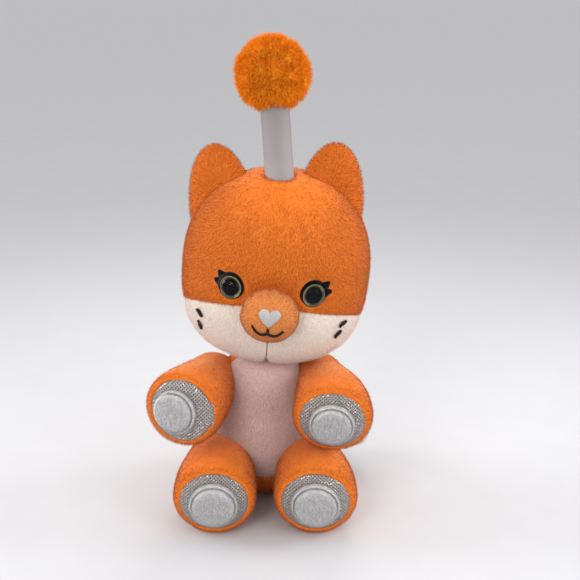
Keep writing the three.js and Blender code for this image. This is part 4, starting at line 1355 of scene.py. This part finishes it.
def across(line, width_at, slant=0.35):
    """Short stitches side by side along a flat line."""
    ends = []
    for i, point in enumerate(line):
        ahead = line[min(i + 1, len(line) - 1)] - line[max(i - 1, 0)]
        ahead.normalize()
        off = Vector((-ahead.y, ahead.x)) * width_at(i / (len(line) - 1)) / 2
        lean = ahead * slant * off.length
        ends.append((tuple(point - off - lean), tuple(point + off + lean)))
    return ends


class FOX_OT_embroidery(FoxBuilder):
    """Stitch the heart-shaped nose, the mouth and the marks on the cheeks"""

    bl_idname = "fox.embroidery"
    bl_label = "Embroidery"

    def make(self, scene):
        face = scene.fox_face
        white = twisted("White thread", tuple(face.nose), rough=0.5)
        dark = twisted("Dark thread", tuple(face.mouth), rough=0.5)
        on_muzzle = Drape("muzzle_plush")
        front = MUZZLE_FRAME @ turn(90, "X")
        half, height, up = 4.8, 7.9, 3.0
        outline = self.heart(half, height)
        ends = []
        for i in range(30):
            x = half * 0.97 * (2 * i / 29 - 1)
            low, high = self.column(outline, height, x)
            if high - low > 0.5:
                ends.append(((x, up + low), (x + 0.12, up + high)))
        paths = satin(on_muzzle, front, ends, lift=0.9, crown=0.5)
        ob = stitches("heart_nose_stitches", paths, face.thread * 1.15, "head", white)
        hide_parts("heart_nose")
        drop = -3.4
        ends = across([Vector((0, drop + 1.6 - 2.8 * i / 14)) for i in range(15)], lambda t: 1.0)
        for side, reach, rise in ((-1, 7.5, 2.7), (1, 7.0, 1.7)):
            corner = (side * reach, drop - 1.2 + rise)
            line = bezier2(((0, drop - 1.0), (corner[0] * 0.55, drop - 4.0), corner), 34)
            ends += across(line, lambda t: 1.0 - 0.3 * t, 0.35 * side)
        paths = satin(on_muzzle, front, ends, lift=0.75, crown=0.3)
        ob = stitches("mouth_stitches", paths, face.thread * 0.85, "head", dark)
        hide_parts("mouth_stitching")
        on_chin = Drape("cheek_left_plush", "cheek_right_plush")
        chin = [on_chin.at(FACE @ HEAD.place(0.01, -26 - 17 * i / 23), 0, 0, 0.25) for i in range(24)]
        thread = twisted("Seam thread", (0.66, 0.57, 0.53), rough=0.7)
        stitches("chin_seam", [chin], 0.22, "head", thread)
        line = [Vector((-2.4 + 4.8 * i / 18, 0.35 * math.sin(i / 3))) for i in range(19)]
        ends = across(line, lambda t: 0.7 + 1.7 * math.sin(math.pi * t) ** 0.8)
        for mark in CHEEK_MARKS:
            on_cheek = Drape(f"cheek_{mark.split('_')[0]}_plush", "head_hood_plush")
            paths = satin(on_cheek, mark_frame(mark), ends, lift=1.0, crown=0.4)
            name = f"cheek_mark_{mark}"
            ob = stitches(f"{name}_stitches", paths, face.thread, "head", dark)
            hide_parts(name)

    @staticmethod
    def heart(half, height):
        """The right half of the outline, from its point up round the lobe to the notch."""
        legs = (
            ((0, -0.5), (0.55, -0.25), (1, -0.02), (1, 0.2)),
            ((1, 0.2), (1, 0.42), (0.75, 0.5), (0.52, 0.5)),
            ((0.52, 0.5), (0.25, 0.5), (0, 0.42), (0, 0.26)),
        )
        points = []
        for leg in legs:
            for p in interpolate_bezier(*[Vector((x * half, y * height, 0)) for x, y in leg], 12):
                points.append((p.x, p.y))
        return points

    @staticmethod
    def column(outline, height, x):
        """The lowest and the highest place of the outline beside its middle line."""
        widest = 0.2 * height
        lows = [point for point in outline if point[1] <= widest + 0.01]
        highs = [point for point in reversed(outline) if point[1] >= widest - 0.01]
        return [float(np.interp(abs(x), *zip(*points))) for points in (lows, highs)]


class FOX_OT_eyes(FoxBuilder):
    """Set the eyes: a felt patch with lashes, a black rim, a painted ring and a clear dome"""

    bl_idname = "fox.eyes"
    bl_label = "Eyes"

    def make(self, scene):
        felt = matted("Black felt", (0.025, 0.022, 0.025))
        fuzz = strand_shades("felt fuzz", [(0.02, 0.02, 0.022), (0.06, 0.05, 0.06)], sheen=0.1)
        black = (0.012, 0.012, 0.015)
        rim = moulded("Black plastic", black, rough=0.3, scale=900.0, depth=0.00005, specular_ior_level=0.08)
        paint = self.paint(tuple(scene.fox_face.iris))
        clear = finish(
            "Clear plastic",
            lambda tree, place: {"Roughness": 0.015 + speckle(tree, place, 700, 3) * 0.03},
            base_color=(0.97, 0.98, 0.98, 1),
            transmission_weight=1.0,
            ior=1.2,
        )
        parts = {
            "base": (rim, "black_plastic"),
            "iris": (paint, "iris_paint"),
            "dome": (clear, "clear_plastic"),
        }
        for name, side in SIDES.items():
            self.patch(name, side, EYES[name], felt, fuzz)
            for part, (look, slot) in parts.items():
                bm = spun(EYE_PROFILES[part])
                if max(bm.faces, key=lambda f: f.calc_center_median().z).normal.z < 0:
                    bmesh.ops.reverse_faces(bm, faces=bm.faces[:])
                ring = bm.verts.layers.float.new("ring")
                for v in bm.verts:
                    v[ring] = smoothstep(4.6, 5.4, math.hypot(v.co.x, v.co.y))
                sunk = EYES[name] @ Matrix.Translation((0, 0, -1.0))
                ob = piece(f"eye_{name}_{part}_shaped", bm, "head", slot, look, sunk, subdivisions=2)
                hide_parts(f"eye_{name}_{part}")

    @staticmethod
    def paint(colour):
        """Metallic paint that is darker round the pupil."""

        def build(tree, place):
            streak = speckle(tree, place, 1400, 4, 0.7, 0.8)
            grain = streak * 0.6 + speckle(tree, place, 300) * 0.4
            edge = add(tree, "ShaderNodeAttribute", {"attribute_name": "ring"})["Fac"]
            inner, outer = (mottled(tree, grain, colour, *by) for by in ((0.34, 0.62), (0.7, 1.2)))
            return {
                "Base Color": blended(tree, edge, inner, outer),
                "Roughness": 0.3 + streak * 0.2,
                "Normal": bump(tree, streak, 0.4, 0.0002),
            }

        return finish("Iris paint", build, metallic=0.45)

    @staticmethod
    def patch(name, side, place, felt, fuzz):
        """A felt disc with two lashes, laid on the head."""
        drape = Drape("head_hood_plush", f"cheek_{name}_plush")
        bm = bmesh.new()
        bmesh.ops.create_circle(bm, cap_ends=True, segments=40, radius=FELT_RADIUS)
        bmesh.ops.inset_region(bm, faces=bm.faces[:], thickness=1.2)
        bmesh.ops.translate(bm, verts=bm.verts[:], vec=(side * 0.8, 0.4, 0))
        for degrees, length in ((5, 3.3), (33, 3.5)):
            angle = math.radians(degrees if side > 0 else 180 - degrees)
            lash = bmesh.ops.create_grid(bm, x_segments=4, y_segments=1, size=0.5)["verts"]
            for v in lash:
                t = v.co.x + 0.5
                reach = 5.5 + t * (1.6 + length)
                off = v.co.y * 2 * 2.8 * (1 - 0.84 * t**1.6)
                bend = angle + side * 0.08 * t * t
                right, up = math.cos(bend), math.sin(bend)
                v.co = Vector((reach * right - off * up, reach * up + off * right, 0))
        for v in bm.verts:
            v.co = drape.at(place, v.co.x, v.co.y, 0.9)
        bmesh.ops.recalc_face_normals(bm, faces=bm.faces[:])
        out = place.to_3x3() @ UP
        if sum(f.normal.dot(out) for f in bm.faces) < 0:
            bmesh.ops.reverse_faces(bm, faces=bm.faces[:])
        ob = piece(f"eye_{name}_felt_patch", bm, "head", "black_felt", felt)
        combed(ob, lambda p: (side, 0, 0.5))
        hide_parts(f"eye_{name}_felt")
        sizes = {"density": 8, "length": 0.6, "width": 0.16, "lean": 0.6}
        pile(f"eye_{name}_felt_fuzz", ob, "head", "black_felt", fuzz, seed=82 + side, **sizes)
        lined(ob, 0.8)


# Rod and pompom
class FOX_OT_rod(FoxBuilder):
    """Stand the rod in the crown"""

    bl_idname = "fox.rod"
    bl_label = "Rod"

    def make(self, scene):
        colour = tuple(scene.fox_rod.tube)

        def build(tree, place):
            lines = speckle(tree, stretched(tree, place, (0.12, 0.12, 1.0)), 1500, 3, 0.6)
            height = add(tree, "ShaderNodeSeparateXYZ", {}, {"Vector": place})["Z"]
            # Painted shadow: darker towards the top, under the pompom.
            painted_pompom_shadow = ((height - 0.18) * 28).clamped() * 0.8
            pale = mottled(tree, lines * 0.25 + speckle(tree, place, 60) * 0.75, colour, 0.93, 1.07)
            mixed = blended(tree, painted_pompom_shadow, pale, linear(shaded(colour, 0.8)))
            scored = bump(tree, lines, 0.1, 0.00006)
            return {"Base Color": mixed, "Roughness": 0.5 + lines * 0.12, "Normal": scored}

        look = finish("Milky tube", build, specular_ior_level=0.35)
        outside = [(ROD_RADIUS + inward, height) for inward, height in ROD_OUTSIDE]
        inside = [(ROD_BORE, height) for height in (40, 20, -23.8)]
        bm = spun([inside[-1], *outside, *inside], 64)
        ob = piece("rod_tube", bm, "head", "rod_plastic", look, ROD_FRAME)
        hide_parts("rod")


class FOX_OT_pompom(FoxBuilder):
    """Tie the pompom on the rod"""

    bl_idname = "fox.pompom"
    bl_label = "Pompom"

    def make(self, scene):
        colour = tuple(scene.fox_rod.fur)
        core = backing("Pompom core", shaded(colour, 0.95))
        dyes = [(0.95, 0.55, 0.07), (1.0, 0.69, 0.12), colour, (1.0, 0.87, 0.32), (1.0, 0.93, 0.5)]
        shades = strand_shades("pompom fur", dyes, sheen=1.0, tint=(1.0, 0.75, 0.25))
        bm = rounded_cage(14)
        for v in bm.verts:
            lump = noise.noise(v.co * 3.8 + Vector((3, 1, 7))) * 2.4
            v.co = v.co.normalized() * (16.2 + lump)
        place = ROD_FRAME @ Matrix.Translation((0, 0, POMPOM_UP))
        skin = piece("pompom_core", bm, "head", "pompom_fur", core, place)
        inverse = place.inverted()

        def tone(p):
            local = (inverse @ p).normalized()
            painted_low_front_shade = math.exp(-((local.x / 0.5) ** 2) - ((local.z + 0.45) / 0.4) ** 2) * (local.y < 0)
            # Painted light and shade: lighter strands towards the top, darker ones low on the front.
            return 0.7 * local.z + 0.12 - 0.65 * painted_low_front_shade

        combed(skin, lambda p: (inverse @ p).normalized(), None, tone)
        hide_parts("pompom")
        fur = {"density": 7.5, "length": scene.fox_rod.fur_length, "width": 0.36, "lean": -0.75, "curl": 0.6}
        fur.update(rows=2, jitter=0.6, clump=1.2, clump_scale=170.0)
        fur.update(shade_scale=110.0, shade_noise=0.3, strays=0.0)
        pile("pompom_fur", skin, "head", "pompom_fur", shades, seed=91, **fur)


class FOX_OT_hardware(FoxBuilder):
    """Finish the hard parts inside, which the frame keeps as they are"""

    bl_idname = "fox.hardware"
    bl_label = "Parts inside"

    def make(self, scene):
        nylon = moulded("Nylon", (0.87, 0.87, 0.84), rough=0.45, scale=300.0, depth=0.0001)
        names = ["rod_flange", "rod_plug", "eye_left_washer", "eye_right_washer"]
        names += [f"{name}_disc_core" for name in PAWS]
        for name in names:
            frame["nodes"][name].data.materials.clear()
            frame["nodes"][name].data.materials.append(nylon)


class FOX_OT_stage(FoxBuilder):
    """Lay the floor and set the lamps and the camera"""

    bl_idname = "fox.stage"
    bl_label = "Stage"

    def make(self, scene):
        stage = scene.fox_stage
        scene.view_settings.view_transform = "Standard"
        colour = tuple(stage.floor)

        def build(tree, place):
            return {"Base Color": mottled(tree, speckle(tree, place, 40), colour, 0.985, 1.01)}

        bm = bmesh.new()
        bmesh.ops.create_circle(bm, cap_ends=True, segments=64, radius=30)
        floor = linked("floor", meshed("floor", bm))
        floor.data.materials.append(finish("Floor", build, roughness=0.7, specular_ior_level=0.2))
        target = Vector((0, 0, 0.11))
        lamps = (
            ("key", stage.key, 0.5, Vector((-0.45, -0.95, 0.65))),
            ("fill", stage.fill, 0.5, Vector((0.72, -0.72, 0.5))),
            ("back", stage.fill, 0.5, Vector((0.15, 0.7, 0.85))),
            ("left", stage.rim, 0.4, Vector((-0.88, 0.1, 0.42))),
            ("right", stage.rim, 0.4, Vector((0.88, 0.1, 0.42))),
        )
        for name, power, size, place in lamps:
            lamp = bpy.data.lights.new(name, "AREA")
            lamp.energy = power
            lamp.size = size
            lamp.spread = math.radians(65)
            ob = linked(name, lamp)
            ob.location = place
            ob.rotation_euler = (target - place).to_track_quat("-Z", "Y").to_euler()
        world = bpy.data.worlds.new("sky")
        world.use_nodes = True
        tree = world.node_tree
        tree.nodes.clear()
        path = add(tree, "ShaderNodeLightPath")
        seen = (path["Is Camera Ray"] + path["Is Glossy Ray"] + path["Is Transmission Ray"]).clamped()
        even, pale = (
            add(tree, "ShaderNodeBackground", {}, {"Color": shade, "Strength": stage.sky})["Background"]
            for shade in ((1, 1, 1, 1), linear(colour))
        )
        mixed = add(tree, "ShaderNodeMixShader", {}, {0: seen, 1: even, 2: pale})["Shader"]
        add(tree, "ShaderNodeOutputWorld", {}, {"Surface": mixed})
        scene.world = world
        camera = bpy.data.cameras.new("camera")
        camera.lens = 64.2
        camera.clip_start = 0.01
        camera.shift_x = 0.043
        camera.shift_y = -0.017
        elevation = math.radians(17)
        middle = Vector((0, 0, 0.118))
        distance = 0.54
        back = Vector((0, -math.cos(elevation), math.sin(elevation)))
        scene.camera = linked("camera", camera)
        scene.camera.location = middle + back * distance
        scene.camera.rotation_euler = (-back).to_track_quat("-Z", "Y").to_euler()


class FOX_PT_panel(bpy.types.Panel):
    bl_label = "Plush fox"
    bl_idname = "FOX_PT_panel"
    bl_space_type = "VIEW_3D"
    bl_region_type = "UI"
    bl_category = "Fox"

    def draw(self, context):
        for group in SETTINGS:
            settings = getattr(context.scene, group)
            for name in settings.bl_rna.properties.keys():
                if name not in ("name", "rna_type"):
                    self.layout.prop(settings, name)
        for operator in OPERATORS:
            self.layout.operator(operator.bl_idname)


SETTINGS = {
    "fox_plush": FoxPlush,
    "fox_face": FoxFace,
    "fox_paws": FoxPaws,
    "fox_rod": FoxRod,
    "fox_stage": FoxStage,
}
OPERATORS = (
    FOX_OT_stage,
    FOX_OT_head,
    FOX_OT_ears,
    FOX_OT_muzzle,
    FOX_OT_torso,
    FOX_OT_limbs,
    FOX_OT_discs,
    FOX_OT_tail,
    FOX_OT_embroidery,
    FOX_OT_eyes,
    FOX_OT_rod,
    FOX_OT_pompom,
    FOX_OT_hardware,
)


def register():
    for kind in (*SETTINGS.values(), *OPERATORS, FOX_PT_panel):
        bpy.utils.register_class(kind)
    for name, kind in SETTINGS.items():
        setattr(bpy.types.Scene, name, bpy.props.PointerProperty(type=kind))


def unregister():
    for name in SETTINGS:
        delattr(bpy.types.Scene, name)
    for kind in (FOX_PT_panel, *reversed(OPERATORS), *reversed(SETTINGS.values())):
        bpy.utils.unregister_class(kind)


def main():
    register()
    for operator in OPERATORS:
        getattr(bpy.ops.fox, operator.bl_idname.split(".")[1])()


if __name__ == "__main__":
    main()
